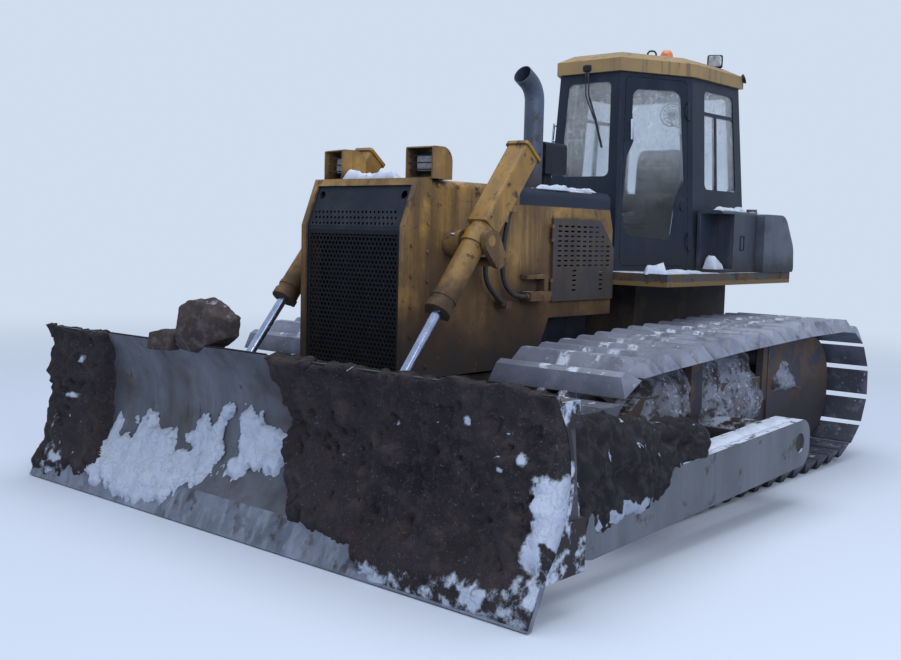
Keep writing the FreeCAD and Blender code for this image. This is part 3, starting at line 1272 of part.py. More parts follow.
def make_arms():
    inner = arm_out - size("arm_wide")
    pivot_x, pivot_z, half = size("arm_pivot_x"), size("arm_pivot_z"), size("arm_high") / 2
    tip_x, tip_z = size("arm_tip_x"), size("arm_tip_z")
    beam = pad("arm_beam", "XZ", outline([(pivot_x - half, pivot_z - half, 120), (tip_x - 250, tip_z - half),
               (tip_x, tip_z - half + 50), (tip_x, tip_z + half - 40), (tip_x - 250, tip_z + half),
               (pivot_x - half, pivot_z + half, 120)]), inner, "arm_wide")
    bore = bar("arm_bore", (pivot_x, inner - 1, pivot_z), (pivot_x, arm_out + 1, pivot_z),
               "stub_r + pin_gap")
    foot_x = size("brace_foot_x")
    top = pivot_z + half
    ear = [(foot_x - 110, top - 80), (foot_x + 110, top - 80), (foot_x + 55, top + 85, 45), (foot_x - 55, top + 85, 45)]
    ears = [pad("arm_ear", "XZ", outline(ear), brace_y - 30.5 - 28, "28"),
            pad("arm_ear", "XZ", outline(ear), brace_y + 30.5, "28")]
    pair("push_arms", cut("push_arm_left", fuse("arm_whole", [beam] + ears), [bore]))


def strut(label, side):
    """Tilt cylinder or brace between its pins on the arm and on the blade, one solid."""
    y = side * brace_y
    foot = Vector(size("brace_foot_x"), y, size("arm_pivot_z") + size("arm_high") / 2 + 40)
    head = Vector(size("arm_tip_x") - 15, y, size("brace_top_z"))
    along = (head - foot).normalize()
    barrel_end = foot + along * (0.62 * (head - foot).Length)
    things = [bar(label + "_foot", tuple(foot - across * 30), tuple(foot + across * 30), "46"),
              bar(label + "_head", tuple(head - across * 30), tuple(head + across * 30), "46"),
              bar(label + "_barrel", tuple(foot + along * 105), tuple(barrel_end), "brace_r"),
              bar(label + "_neck", tuple(foot), tuple(foot + along * 110), "brace_r / 2"),
              bar(label + "_rod", tuple(barrel_end - along * 5), tuple(head), "rod_r - 2")]
    keep(label, fuse(label + "_whole", things))


def barrel_casing(name, foot, along, half_wide, half_deep, tall):
    """Rounded square casing round the lift barrel, from foot up against its direction."""
    face = face_of(outline([(-half_wide, -half_deep), (half_wide, -half_deep), (half_wide, half_deep),
                            (-half_wide, half_deep)], 20))
    place = Placement(foot, Rotation(across, across.cross(along), -along, "XYZ"))
    return computed(name, face.extrude(Vector(0, 0, tall)).transformed(place.toMatrix(), True))


def make_lift_cylinders():
    pivot = Vector(size("trunnion_x"), size("trunnion_y"), size("trunnion_z"))
    pin = Vector(size("lug_x"), size("trunnion_y"), size("lug_z"))
    along = (pin - pivot).normalize()
    top = pivot - along * size("barrel_up")
    end = pivot + along * size("barrel_down")
    mouth = end + along * size("gland_long")
    reach = size("yoke_thick") + size("barrel_r") + 14
    rearwards = across.cross(along)
    port = end + along * size("gland_long") / 2
    pipe_off = rearwards * size("pipe_off")
    casing_foot = pivot - along * size("casing_start")
    body = fuse("barrel_body", [bar("barrel_tube", tuple(top), tuple(end), "barrel_r"),
                                bar("barrel_gland", tuple(end), tuple(mouth), "barrel_r + 8"),
                                bar("barrel_collar", tuple(end - along * 60), tuple(end - along * 38),
                                    "barrel_r + 5"),
                                bar("barrel_belt", tuple(pivot - along * 45), tuple(pivot + along * 45),
                                    "barrel_r + 9"),
                                bar("barrel_pins", tuple(pivot - across * reach), tuple(pivot + across * reach),
                                    "trunnion_r"),
                                barrel_casing("barrel_casing", casing_foot, along, size("casing_wide") / 2,
                                              size("casing_deep") / 2, size("barrel_up") - size("casing_start")),
                                barrel_casing("barrel_lid", top + along * 22, along, size("casing_wide") / 2 + 10,
                                              size("casing_deep") / 2 + 12, 22),
                                bar("side_pipe", tuple(casing_foot + pipe_off - along * 5), tuple(port + pipe_off),
                                    "side_pipe_r"),
                                bar("side_pipe_foot", tuple(port), tuple(port + pipe_off), "side_pipe_r + 7"),
                                bar("side_pipe_end", tuple(port + pipe_off - along * 22),
                                    tuple(port + pipe_off + along * 14), "side_pipe_r + 9")])
    bore = bar("barrel_bore", tuple(top + along * 15), tuple(mouth + along), "rod_r + pin_gap")
    barrel = keep("lift_barrel_left", cut("barrel_left", body, [bore]))
    keep("lift_barrel_right", mirror("barrel_right", barrel))
    half = size("eye_wide") / 2
    stub = half + size("lug_gap") - 2
    rod = fuse("rod_left", [bar("rod_shaft", tuple(pin - along * size("rod_long")), tuple(pin), "rod_r"),
                            bar("rod_eye", tuple(pin - across * half), tuple(pin + across * half), "eye_r"),
                            bar("rod_pin", tuple(pin - across * stub), tuple(pin + across * stub), "eye_r / 2")])
    keep("lift_rod_left", rod)
    keep("lift_rod_right", mirror("rod_right", rod))


def make_yokes():
    x, y, z = size("trunnion_x"), size("trunnion_y"), size("trunnion_z")
    inner_face = y - size("barrel_r") - 14 - size("yoke_thick")
    outer_face = y + size("barrel_r") + 14
    link = (x - 92, z - 122)
    plate = [(x - 58, z + 58, 55), (x - 150, z - 118, 40), (x - 70, z - 175, 40), (x + 58, z - 40, 55),
             (x + 58, z + 58, 55)]
    arms = [pad("yoke_arm", "XZ", outline(plate), inner_face, "yoke_thick"),
            pad("yoke_arm", "XZ", outline(plate), outer_face, "yoke_thick")]
    tie = bar("yoke_tie", (link[0], inner_face, link[1]), (link[0], outer_face + 10, link[1]), "30")
    boss = bar("yoke_boss", (x - 20, size("hood_wide") / 2, z - 30), (x - 20, inner_face + 5, z - 30), "70")
    bore = bar("yoke_bore", (x, inner_face - 60, z), (x, outer_face + size("yoke_thick") + 1, z),
               "trunnion_r + pin_gap")
    pair("lift_yokes", cut("yoke_left", fuse("yoke_whole", arms + [tie, boss]), [bore]))


def make_drawbar():
    face = size("hull_rear_x")
    rear = face - size("drawbar_long")
    middle, slot, plate, half = (size(name) for name in ("drawbar_z", "drawbar_slot", "drawbar_plate", "drawbar_wide"))
    half = half / 2
    jaw = [(face, -half), (face, half), (rear, half, 60), (rear, -half, 60)]
    upper = pad("jaw_upper", "XY", outline(jaw), middle + slot / 2, "drawbar_plate")
    lower = pad("jaw_lower", "XY", outline(jaw), middle - slot / 2 - plate, "drawbar_plate")
    root = box("jaw_root", (face - 70, -half - 30, middle - slot / 2 - plate - 30), "70", "drawbar_wide + 60",
               "drawbar_slot + 2 * drawbar_plate + 60")
    pin_x = rear + size("drawbar_end")
    bore = bar("jaw_bore", (pin_x, 0, middle - 200), (pin_x, 0, middle + 200), "drawbar_pin_r")
    keep("drawbar", cut("jaw", fuse("jaw_whole", [upper, lower, root]), [bore]))


make_tracks()
make_sprockets()
make_idlers()
make_rollers()
make_track_frames()
make_final_drives()
make_main_frame()
make_cross_beams()
make_engine()
make_nose()
make_hood()
make_engine_doors()
make_exhaust()
make_nose_lamps()
make_hoses()
make_cab()
make_cab_glass()
make_cab_doors()
make_roof()
make_roof_fittings()
make_seat()
make_controls()
make_platform()
make_boxes_and_tank()
make_moldboard()
make_cutting_edge()
make_arms()
strut("tilt_cylinder", 1)
strut("tilt_brace", -1)
make_lift_cylinders()
make_yokes()
make_drawbar()

doc.recompute()

# Checks before anything is written
for thing in doc.Objects:
    if "Invalid" in thing.State or "Error" in thing.State:
        raise RuntimeError(f"{thing.Label} failed to rebuild: {thing.State}")
for thing in sub_parts:
    if thing.Shape.isNull() or not thing.Shape.isValid():
        raise RuntimeError(f"{thing.Label} has no valid shape")

os.makedirs("parts", exist_ok=True)
for thing in sub_parts:
    shape = thing.Shape
    shape.exportStep(os.path.join("parts", thing.Label + ".step"))
    print(f"{thing.Label:20s} {len(shape.Solids)} solids {shape.Volume / 1e9:8.4f} m3")
print(len(sub_parts), "nodes; pitch", round(pitch, 1))
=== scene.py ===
# %% [markdown]
# # A swamp-track bulldozer, dressed over its imported frame
#
# The solids come with the frame: plates, tubes, track shoes, cab walls. This script gives every one of them a
# finish and adds what solids don't carry well, such as frozen earth, snow, seat pads, bolts and small wires.
# Everything is in metres, with +X towards the blade, +Y to the machine's left and +Z up.

# %% The frame
import math
import bmesh
import bpy
import numpy as np
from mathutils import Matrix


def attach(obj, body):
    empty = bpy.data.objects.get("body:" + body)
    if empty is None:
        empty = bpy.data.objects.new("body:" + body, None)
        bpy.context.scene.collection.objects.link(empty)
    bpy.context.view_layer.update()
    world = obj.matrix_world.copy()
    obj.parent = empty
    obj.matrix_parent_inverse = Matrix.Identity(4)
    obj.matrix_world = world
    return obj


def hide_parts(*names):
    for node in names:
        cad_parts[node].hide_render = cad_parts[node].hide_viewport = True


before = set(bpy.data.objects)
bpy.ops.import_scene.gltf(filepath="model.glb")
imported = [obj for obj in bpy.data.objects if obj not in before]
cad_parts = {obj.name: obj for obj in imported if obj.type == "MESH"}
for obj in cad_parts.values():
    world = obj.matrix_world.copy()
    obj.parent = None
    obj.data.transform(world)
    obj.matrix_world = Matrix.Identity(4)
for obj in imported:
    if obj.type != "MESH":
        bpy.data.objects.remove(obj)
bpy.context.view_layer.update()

print("nodes:", len(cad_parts))

# %% [markdown]
# ## The camera
#
# The camera stands off the machine's left front corner at a grown person's eye height. A camera is usually
# placed by eye, but here its place, its heading and its focal length are worked out from straight edges whose
# real sizes are known, so that what is near and what is far keep their true proportions.

# %% Camera
CAMERA_PLACE = (6.215, 4.702, 1.667)
YAW, PITCH, ROLL = np.radians((220.80, -5.00, 1.417))
FOCAL_PIXELS, IMAGE_WIDE, SENSOR_WIDE = 1086.7, 901, 36.0


def unit(vector):
    """The same direction with length 1, for one vector or an array of them."""
    vector = np.asarray(vector, float)
    return vector / np.linalg.norm(vector, axis=-1, keepdims=True)


def stand(name, data, right, up, back, place):
    """A camera or lamp in its place; the columns of its matrix are its right, its up and its backward way."""
    made = bpy.data.objects.new(name, data)
    bpy.context.collection.objects.link(made)
    matrix = np.eye(4)
    matrix[:3] = np.column_stack((right, up, back, place))
    made.matrix_world = matrix.T
    return made


ahead = np.array((math.cos(PITCH) * math.cos(YAW), math.cos(PITCH) * math.sin(YAW), math.sin(PITCH)))
level = unit(np.cross(ahead, (0, 0, 1)))
upright = np.cross(level, ahead)
right = level * math.cos(ROLL) + upright * math.sin(ROLL)
up = upright * math.cos(ROLL) - level * math.sin(ROLL)
lens = bpy.data.cameras.new("camera")
lens.sensor_width = SENSOR_WIDE
lens.sensor_fit = "HORIZONTAL"
lens.lens = FOCAL_PIXELS / IMAGE_WIDE * SENSOR_WIDE
bpy.context.scene.camera = stand("camera", lens, right, up, -ahead, CAMERA_PLACE)
print("lens:", round(lens.lens, 1), "mm")

# %% [markdown]
# ## The hoses beside the hood
#
# Two hydraulic hoses hang in a bow beside the hood on each side, held by a fitting at both ends. A hose takes
# the smoothest line that its length allows, and a NURBS spline through a few points does the same: it starts at
# the first point, ends at the last and only leans towards those between. The points, x and z, are those of the
# solid hoses.

# %% Hoses
HOSE_Y, HOSE_R = 0.505, 0.016
# columns: solid, length, points of the left and of the right hose
HOSES = [
    ("hose_rear", 0.69,
     [(0.817, 1.810), (0.868, 1.640), (0.875, 1.435), (0.822, 1.339), (0.726, 1.284), (0.626, 1.283)]),
    ("hose_front", 0.58, [(0.915, 1.736), (1.003, 1.612), (1.050, 1.460), (1.005, 1.340), (0.870, 1.255)])]
hoses = []
for name, length, route in HOSES:
    for side_name, side in (("left", 1), ("right", -1)):
        node = f"{name}_{side_name}"
        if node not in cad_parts:
            continue
        line = bpy.data.curves.new(node + "_tube", "CURVE")
        line.dimensions = "3D"
        line.bevel_depth = HOSE_R
        line.bevel_resolution = 5
        line.use_fill_caps = True
        spline = line.splines.new("NURBS")
        spline.points.add(len(route) - 1)
        for point, (x, z) in zip(spline.points, route):
            point.co = (x, side * HOSE_Y, z, 1.0)
        spline.order_u = 3
        spline.use_endpoint_u = True
        spline.resolution_u = 10
        hose = bpy.data.objects.new(node + "_tube", line)
        bpy.context.collection.objects.link(hose)
        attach(hose, "machine")
        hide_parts(node)
        hoses.append(hose)
print("hoses:", [hose.name for hose in hoses])

# %% [markdown]
# ## Building shader nodes
#
# A material is a small network of nodes. Written out one call at a time it is hard to read, so one helper makes
# a node, sets its options and fills its inputs, each with a number or with another node's output. Colours are
# given as seen on a screen, from 0 to 255, and turned into the linear values that the renderer works in.

# %% Helpers for shader nodes
def fresh(block):
    """The emptied node tree of a material or a world."""
    block.use_nodes = True
    block.node_tree.nodes.clear()
    return block.node_tree


def add(tree, kind, inputs=None, **settings):
    """One shader node with its settings; each input is a value or another node's output."""
    made = tree.nodes.new("ShaderNode" + kind)
    for name, value in settings.items():
        setattr(made, name, value)
    for name, value in (inputs or {}).items():
        if isinstance(value, bpy.types.NodeSocket):
            tree.links.new(value, made.inputs[name])
        else:
            made.inputs[name].default_value = value
    return made


def sums(tree, operation, first, second=0.0, third=0.0):
    """The result of one Math node."""
    return add(tree, "Math", {0: first, 1: second, 2: third}, operation=operation).outputs[0]


def times(tree, first, second):
    """The product of two values."""
    return sums(tree, "MULTIPLY", first, second)


def lacking(tree, value):
    """What a value lacks to 1."""
    return sums(tree, "SUBTRACT", 1.0, value)


def part_of(tree, vector, axis):
    """A vector's X, Y or Z."""
    return add(tree, "SeparateXYZ", {0: vector}).outputs[axis]


def ramped(tree, value, low, high):
    """0 below low, 1 above high and a smooth step between."""
    inputs = {"Value": value, "From Min": low, "From Max": high}
    return add(tree, "MapRange", inputs, interpolation_type="SMOOTHSTEP").outputs["Result"]


def clouds(tree, place, size, detail, roughness=0.5):
    """Noise from 0 to 1."""
    inputs = {"Vector": place, "Scale": size, "Detail": detail, "Roughness": roughness}
    return add(tree, "TexNoise", inputs).outputs["Fac"]


def colours(tree, mask, under, over):
    """The under colour where the mask is 0 and the over colour where it is 1."""
    made = add(tree, "Mix", data_type="RGBA")
    tree.links.new(mask, made.inputs["Factor"])
    for slot_name, value in (("A", under), ("B", over)):
        socket = [s for s in made.inputs if s.name == slot_name and s.type == "RGBA"][0]
        if isinstance(value, bpy.types.NodeSocket):
            tree.links.new(value, socket)
        else:
            socket.default_value = value
    return [s for s in made.outputs if s.type == "RGBA"][0]


def numbers(tree, mask, under, over):
    """The same for plain numbers: under + mask * (over - under)."""
    return add(tree, "Mix", {0: mask, 2: under, 3: over}, data_type="FLOAT").outputs[0]


def seen(red, green, blue):
    """A colour as seen on a screen, 0 to 255, as the renderer's linear colour."""
    scaled = np.array((red, green, blue)) / 255
    linear = np.where(scaled <= 0.04045, scaled / 12.92, ((scaled + 0.055) / 1.055) ** 2.4)
    return (*linear.tolist(), 1.0)


print("white is", seen(255, 255, 255))

# %% [markdown]
# ## Effects that many finishes share
#
# An old machine's surface is paint with things on top: patches of grease, streaks that ran down, mud that
# splashed up from below, snow that settled on what faces up, bare steel on worn edges, and grime with
# painted shade in corners, darker where other faces close in.
# Each of these is a mask from 0 to 1 over the surface. They could be painted into an image, but a node group
# works at any distance and on any piece, and one group serves every material with its own values. The groups
# only put out masks; the shader itself stays in each material.

# %% Group maker
GROUPS = {}


def group(**values):
    """Turns the function below it into a node group, whose output Mask is what the function returns.

    Its inputs are Place and these values. An input that is None is a vector, such as Facing, the way a surface
    looks; the others are numbers, and the values are what they are unless a material sets them.
    """
    def made(build):
        tree = bpy.data.node_groups.new(build.__name__, "ShaderNodeTree")
        for title, value in {"Place": None, **values}.items():
            kind = "NodeSocketVector" if value is None else "NodeSocketFloat"
            socket = tree.interface.new_socket(title, in_out="INPUT", socket_type=kind)
            if value is not None:
                socket.default_value = value
        tree.interface.new_socket("Mask", in_out="OUTPUT", socket_type="NodeSocketFloat")
        mask = build(tree, tree.nodes.new("NodeGroupInput").outputs)
        tree.links.new(mask, tree.nodes.new("NodeGroupOutput").inputs["Mask"])
        GROUPS[build.__name__] = tree
        return build
    return made


def speckle(tree, given, place=None, soft=None):
    """Noise cut at a level, so that the share called Cover lies above it."""
    noise = clouds(tree, place or given["Place"], given["Size"], 7.0, 0.62)
    level_at = sums(tree, "MULTIPLY_ADD", given["Cover"], -0.5, 0.75)
    soft = soft or given["Soft"]
    return ramped(tree, noise, sums(tree, "SUBTRACT", level_at, soft), sums(tree, "ADD", level_at, soft))


print("a group's mask runs from 0 to 1")

# %% Patches, streaks, splashed mud and settled snow
@group(Size=4.0, Cover=0.5, Soft=0.08)
def patches(tree, given):
    """Ragged spots."""
    return speckle(tree, given)


@group(Size=9.0, Cover=0.5, Soft=0.08)
def streaks(tree, given):
    """Spots drawn out from top to bottom."""
    tall = add(tree, "VectorMath", {0: given["Place"], 1: (1.0, 1.0, 0.1)}, operation="MULTIPLY")
    return speckle(tree, given, tall.outputs[0])


@group(Size=3.0, Low=0.5, High=1.5, Ragged=0.6)
def splash(tree, given):
    """All below the height Low and nothing above High, with a ragged border."""
    swing = sums(tree, "SUBTRACT", clouds(tree, given["Place"], given["Size"], 8.0, 0.65), 0.5)
    height = sums(tree, "ADD", part_of(tree, given["Place"], "Z"), times(tree, swing, given["Ragged"]))
    return lacking(tree, ramped(tree, height, given["Low"], given["High"]))


@group(Facing=None, Size=12.0, Cover=0.5, Soft=0.05, Steep=0.75)
def settled(tree, given):
    """Spots on what faces up."""
    steep = given["Steep"]
    flat = ramped(tree, part_of(tree, given["Facing"], "Z"), steep, sums(tree, "ADD", steep, 0.15))
    return times(tree, flat, speckle(tree, given))


print("groups:", ", ".join(GROUPS))

# %% Worn edges, grime and painted shade in corners, bands beside the chain and the outer ends
@group(Width=0.012, Size=14.0, Cover=0.6)
def edges(tree, given):
    """Edges: there the shading of a rounded edge leaves the true face."""
    rounded = add(tree, "Bevel", {"Radius": given["Width"]}, samples=4).outputs["Normal"]
    true_way = add(tree, "NewGeometry").outputs["True Normal"]
    agreement = add(tree, "VectorMath", {0: rounded, 1: true_way}, operation="DOT_PRODUCT").outputs["Value"]
    return times(tree, ramped(tree, lacking(tree, agreement), 0.01, 0.12), speckle(tree, given, soft=0.1))


@group(Reach=0.08, Size=8.0, Cover=0.8)
def corners(tree, given):
    """Grime and painted shade in corners: darker where other faces close in."""
    open_sky = add(tree, "AmbientOcclusion", {"Distance": given["Reach"]}, samples=6).outputs["AO"]
    return times(tree, lacking(tree, ramped(tree, open_sky, 0.35, 0.95)), speckle(tree, given, soft=0.15))


@group(Facing=None, Middle=1.15, Apart=0.075, Width=0.03, Size=16.0, Cover=0.6)
def bands(tree, given):
    """Two bands on each side of the machine, Apart from their middle line, on what faces up."""
    off = sums(tree, "ABSOLUTE", part_of(tree, given["Place"], "Y"))
    for title in ("Middle", "Apart"):
        off = sums(tree, "ABSOLUTE", sums(tree, "SUBTRACT", off, given[title]))
    here = lacking(tree, ramped(tree, off, times(tree, given["Width"], 0.5), given["Width"]))
    upwards = ramped(tree, part_of(tree, given["Facing"], "Z"), 0.2, 0.5)
    return times(tree, times(tree, here, upwards), speckle(tree, given, soft=0.05))


@group(From=2.05, To=2.068, Size=8.0, Cover=0.7, Soft=0.05)
def outer(tree, given):
    """Spots on what lies farthest out to both sides."""
    off = sums(tree, "ABSOLUTE", part_of(tree, given["Place"], "Y"))
    return times(tree, ramped(tree, off, given["From"], given["To"]), speckle(tree, given))


print("groups:", ", ".join(GROUPS))

# %% [markdown]
# ## From layers to a material
#
# A weathered finish reads like a recipe: start with the bare colour, then lay each coat over it through its
# mask. Every layer changes the colour and the roughness and may stand up a little, which the bump shows. The
# recipe is a short table, and one loop turns it into nodes. Doing it this way keeps all materials alike in
# their build, so that a change of taste is a change of one number.

# %% The material maker
MATERIALS = {}
BUMP_UNIT = 0.01
# The second snow is the same snow painted darker: painted shade, for snow on parts that lie in shade.
SHADES = {"snow": (186, 197, 216), "dim-snow": (146, 157, 180), "dark-rust": (58, 44, 40)}
# The values of a layer in the order in which a row gives them
VALUES = {"patches": ("Size", "Cover", "Soft"), "streaks": ("Size", "Cover", "Soft"),
          "splash": ("Size", "Low", "High", "Ragged"), "settled": ("Size", "Cover", "Steep"),
          "edges": ("Width", "Cover"), "corners": ("Reach", "Cover"), "outer": ("Size", "Cover"),
          "bands": ("Middle", "Apart", "Width", "Size", "Cover")}


def layer_mask(tree, coordinates, kind, values):
    """A shared group's mask with this material's values, or the mask "white" that the mesh itself carries."""
    if kind == "painted":
        carried = add(tree, "Attribute", attribute_name="white").outputs["Fac"]
        fine = clouds(tree, coordinates["Object"], values[0], 9.0, 0.72)
        broken = sums(tree, "MULTIPLY_ADD", fine, 0.9, sums(tree, "SUBTRACT", carried, 0.45))
        return ramped(tree, broken, 0.38, 0.62)
    inputs = {"Place": coordinates["Object"], **dict(zip(VALUES[kind], values))}
    node = add(tree, "Group", inputs, node_tree=GROUPS[kind])
    if "Facing" in node.inputs:
        tree.links.new(coordinates["Normal"], node.inputs["Facing"])
    return node.outputs["Mask"]


def finish(name, first, second, size, rough, table, soft=0.18, metal=0.0, grain=(60.0, 0.05), **shader):
    """A material: two shades in soft clouds of a size, and over them one layer for each row of the table.

    A row is: group and values | colour | roughness, height in cm, metal. What is left out at its end is 0.
    """
    material = bpy.data.materials.new(name)
    tree = fresh(material)
    coordinates = add(tree, "TexCoord").outputs
    base = add(tree, "Group", {"Place": coordinates["Object"], "Size": size, "Cover": 0.5, "Soft": soft},
               node_tree=GROUPS["patches"])
    colour = colours(tree, base.outputs["Mask"], seen(*first), seen(*second))
    fine = clouds(tree, coordinates["Object"], grain[0], 5.0)
    height = times(tree, fine, grain[1])
    roughness = numbers(tree, fine, max(rough - 0.12, 0.02), min(rough + 0.12, 1.0))
    metallic = metal
    for row in table.strip().splitlines():
        what, shade, how = (part.split() for part in row.split("|"))
        coat_rough, stands, coat_metal = [float(value) for value in how + ["0", "0"]][:3]
        here = layer_mask(tree, coordinates, what[0], [float(value) for value in what[1:]])
        colour = colours(tree, here, colour, seen(*SHADES.get(shade[0]) or map(float, shade)))
        roughness = numbers(tree, here, roughness, coat_rough)
        if metal or coat_metal:
            metallic = numbers(tree, here, metallic, coat_metal)
        if stands:
            height = sums(tree, "MULTIPLY_ADD", here, stands, height)
    bump = add(tree, "Bump", {"Height": height, "Distance": BUMP_UNIT, "Strength": 1.0})
    principled = add(tree, "BsdfPrincipled", {"Base Color": colour, "Roughness": roughness,
                                              "Metallic": metallic, "Normal": bump.outputs[0], **shader})
    tree.links.new(principled.outputs[0], add(tree, "OutputMaterial").inputs["Surface"])
    MATERIALS[name] = material


print("a layer's values:", VALUES)

# %% [markdown]
# ## Yellow paint
#
# The nose sides, the front of the hood, the lift cylinders and the lamps are an old chrome-yellow enamel. It
# has gone brown where mud and grease sit on it, so the yellow shows best high up and on edges that people and
# rain wipe clean. The layers follow that story from the paint outwards.

# %% Yellow finishes
# Its corners layer is grime with painted shade, darker where other faces close in.
finish("yellow paint", (150, 117, 62), (118, 91, 50), 2.2, 0.5, """
    patches 5 0.36 0.08 | 168 133 70 | 0.45
    streaks 9 0.4 0.12 | 92 70 42 | 0.65
    patches 1.6 0.35 0.16 | 86 66 42 | 0.75
    patches 24 0.17 0.03 | dark-rust | 0.7 -0.01
    splash 1.8 0.95 1.75 1.3 | 72 51 34 | 0.9 0.05
    splash 3.4 0.75 1.35 0.9 | 40 35 35 | 0.95 0.12
    patches 9 0.22 0.04 | 74 52 38 | 0.85 0.02
    edges 0.01 0.45 | dark-rust | 0.6 -0.02
    corners 0.09 0.6 | 52 44 40 | 0.95 0.05
    settled 7 0.33 | snow | 0.9 0.3""")
finish("cylinder yellow", (150, 114, 50), (118, 90, 42), 5, 0.45, """
    streaks 14 0.3 0.1 | 104 80 44 | 0.6
    splash 7 1.2 1.6 0.6 | 58 42 30 | 0.8 0.03
    patches 16 0.25 0.04 | 66 52 46 | 0.8 0.02
    edges 0.008 0.6 | dark-rust | 0.6 -0.02""")
finish("roof yellow", (148, 122, 78), (130, 110, 76), 3, 0.55, """
    streaks 16 0.3 | 108 94 76 | 0.75
    edges 0.008 0.3 | 98 88 70 | 0.7
    settled 3 0.7 0.93 | snow | 0.9 0.6""")
print("yellow finishes made")

# %% [markdown]
# ## Dark paint, steel and the rest
#
# The cab, the platform, the rear of the hood, the boxes and the tank are a blue-grey slate paint with a film
# of dust. The push arms and the blade's middle are bare steel, brushed by earth and dull with frost. The shoes
# are the same steel, darker low down and with painted shade where they close in on one another, pale where
# they are polished, with snow packed beside the chain.

# %% Slate, black and glass finishes
MATT = {"Specular IOR Level": 0.22}
# Its corners layer is grime with painted shade, darker where other faces close in.
finish("slate paint", (22, 31, 47), (31, 40, 56), 2, 0.42, """
    streaks 8 0.3 0.15 | 42 51 66 | 0.7
    splash 3 1.4 1.72 0.4 | 40 43 52 | 0.85 0.02
    edges 0.008 0.4 | 62 71 86 | 0.5
    corners 0.05 0.5 | 44 49 58 | 0.95
    settled 6 0.42 | snow | 0.9 0.3""", **MATT)
finish("tank paint", (64, 73, 90), (74, 83, 99), 2, 0.45, """
    streaks 7 0.35 0.15 | 84 90 102 | 0.75
    patches 3 0.3 0.12 | 56 62 76 | 0.7
    splash 4 1.42 1.6 0.25 | 50 52 60 | 0.9 0.03
    edges 0.008 0.4 | 98 106 118 | 0.5
    settled 5 0.4 | snow | 0.9 0.4""")
# Its corners layer is grime with painted shade, darker where other faces close in.
finish("box paint", (36, 45, 61), (45, 54, 70), 2.4, 0.45, """
    streaks 7 0.35 0.15 | 76 82 94 | 0.75
    splash 4 1.42 1.62 0.25 | 52 54 60 | 0.9 0.03
    edges 0.008 0.5 | 94 100 112 | 0.5
    corners 0.08 0.6 | 38 40 48 | 0.95
    settled 5 0.5 | snow | 0.9 0.4""")
finish("platform paint", (50, 54, 64), (62, 60, 62), 4, 0.6, """
    streaks 5 0.45 0.1 | 86 68 48 | 0.85
    patches 7 0.3 0.05 | 44 42 44 | 0.9 0.03
    splash 6 1.368 1.38 0.02 | 112 92 58 | 0.8
    patches 11 0.25 0.05 | 62 54 46 | 0.9 0.02
    settled 7 0.6 | snow | 0.9 0.4""")
finish("nose plate green", (24, 34, 49), (18, 27, 40), 3, 0.5, """
    patches 7 0.35 0.1 | 42 48 56 | 0.75
    patches 18 0.2 0.04 | 48 42 40 | 0.85 0.01
    edges 0.005 0.6 | 66 72 78 | 0.6""", **MATT)
finish("black iron", (18, 25, 40), (26, 30, 40), 6, 0.5, """
    patches 12 0.35 | 38 39 46 | 0.85 0.01
    edges 0.006 0.4 | 60 67 80 | 0.5""", **MATT)
finish("exhaust steel", (68, 82, 106), (54, 64, 82), 5, 0.5, """
    patches 14 0.3 | 58 52 54 | 0.8 0.02
    splash 5 1.9 2.3 0.3 | 56 46 42 | 0.85 0.02""")
finish("grille black", (14, 18, 25), (22, 26, 33), 9, 0.6, """
    splash 2.5 0.55 1.25 0.8 | 30 28 31 | 0.9 0.02
    patches 20 0.25 | 38 40 44 | 0.9 0.01""", **MATT)
finish("radiator fins", (6, 8, 12), (11, 13, 18), 14, 0.8, """
    patches 5 0.4 | 18 18 21 | 0.95 0.01""", **MATT)
finish("rubber", (24, 26, 31), (34, 35, 40), 9, 0.6, """
    patches 22 0.35 | 58 56 56 | 0.95 0.01""")
finish("cab glass", (238, 242, 246), (228, 235, 242), 2, 0, """
    patches 60 0.05 0.02 | 206 214 224 | 0.5
    streaks 5 0.3 0.2 | 218 228 238 | 0.12""", grain=(30.0, 0.0), **{"Transmission Weight": 0.98, "IOR": 1.22})
finish("lamp glass", (150, 156, 162), (124, 130, 138), 30, 0.2, """
    patches 16 0.3 0.1 | 96 92 86 | 0.8""", grain=(30.0, 0.0), **{"Coat Weight": 0.6})
finish("amber lens", (214, 122, 66), (184, 92, 48), 20, 0.25, """
    settled 30 0.5 | 206 180 166 | 0.6""", **{"Coat Weight": 0.5})
print("dark finishes made")

# %% Frost on the cab's glass
FROST_LOW, FROST_HIGH, FROST_MOST = 1.85, 2.5, 0.30
tree = MATERIALS["cab glass"].node_tree
place = add(tree, "TexCoord").outputs["Object"]
swing = sums(tree, "SUBTRACT", part_of(tree, place, "Z"), 0.25)
height = sums(tree, "MULTIPLY_ADD", clouds(tree, place, 3.0, 6.0), 0.5, swing)
risen = ramped(tree, height, FROST_LOW, FROST_HIGH)
crystals = ramped(tree, clouds(tree, place, 26.0, 8.0, 0.75), 0.35, 0.7)
grown = times(tree, risen, sums(tree, "MULTIPLY_ADD", crystals, 0.6, 0.4))
principled = [node for node in tree.nodes if node.bl_idname == "ShaderNodeBsdfPrincipled"][0]
clear = sums(tree, "SUBTRACT", 0.98, times(tree, grown, FROST_MOST))
tree.links.new(clear, principled.inputs["Transmission Weight"])
print("frost takes up to", FROST_MOST, "of the light")

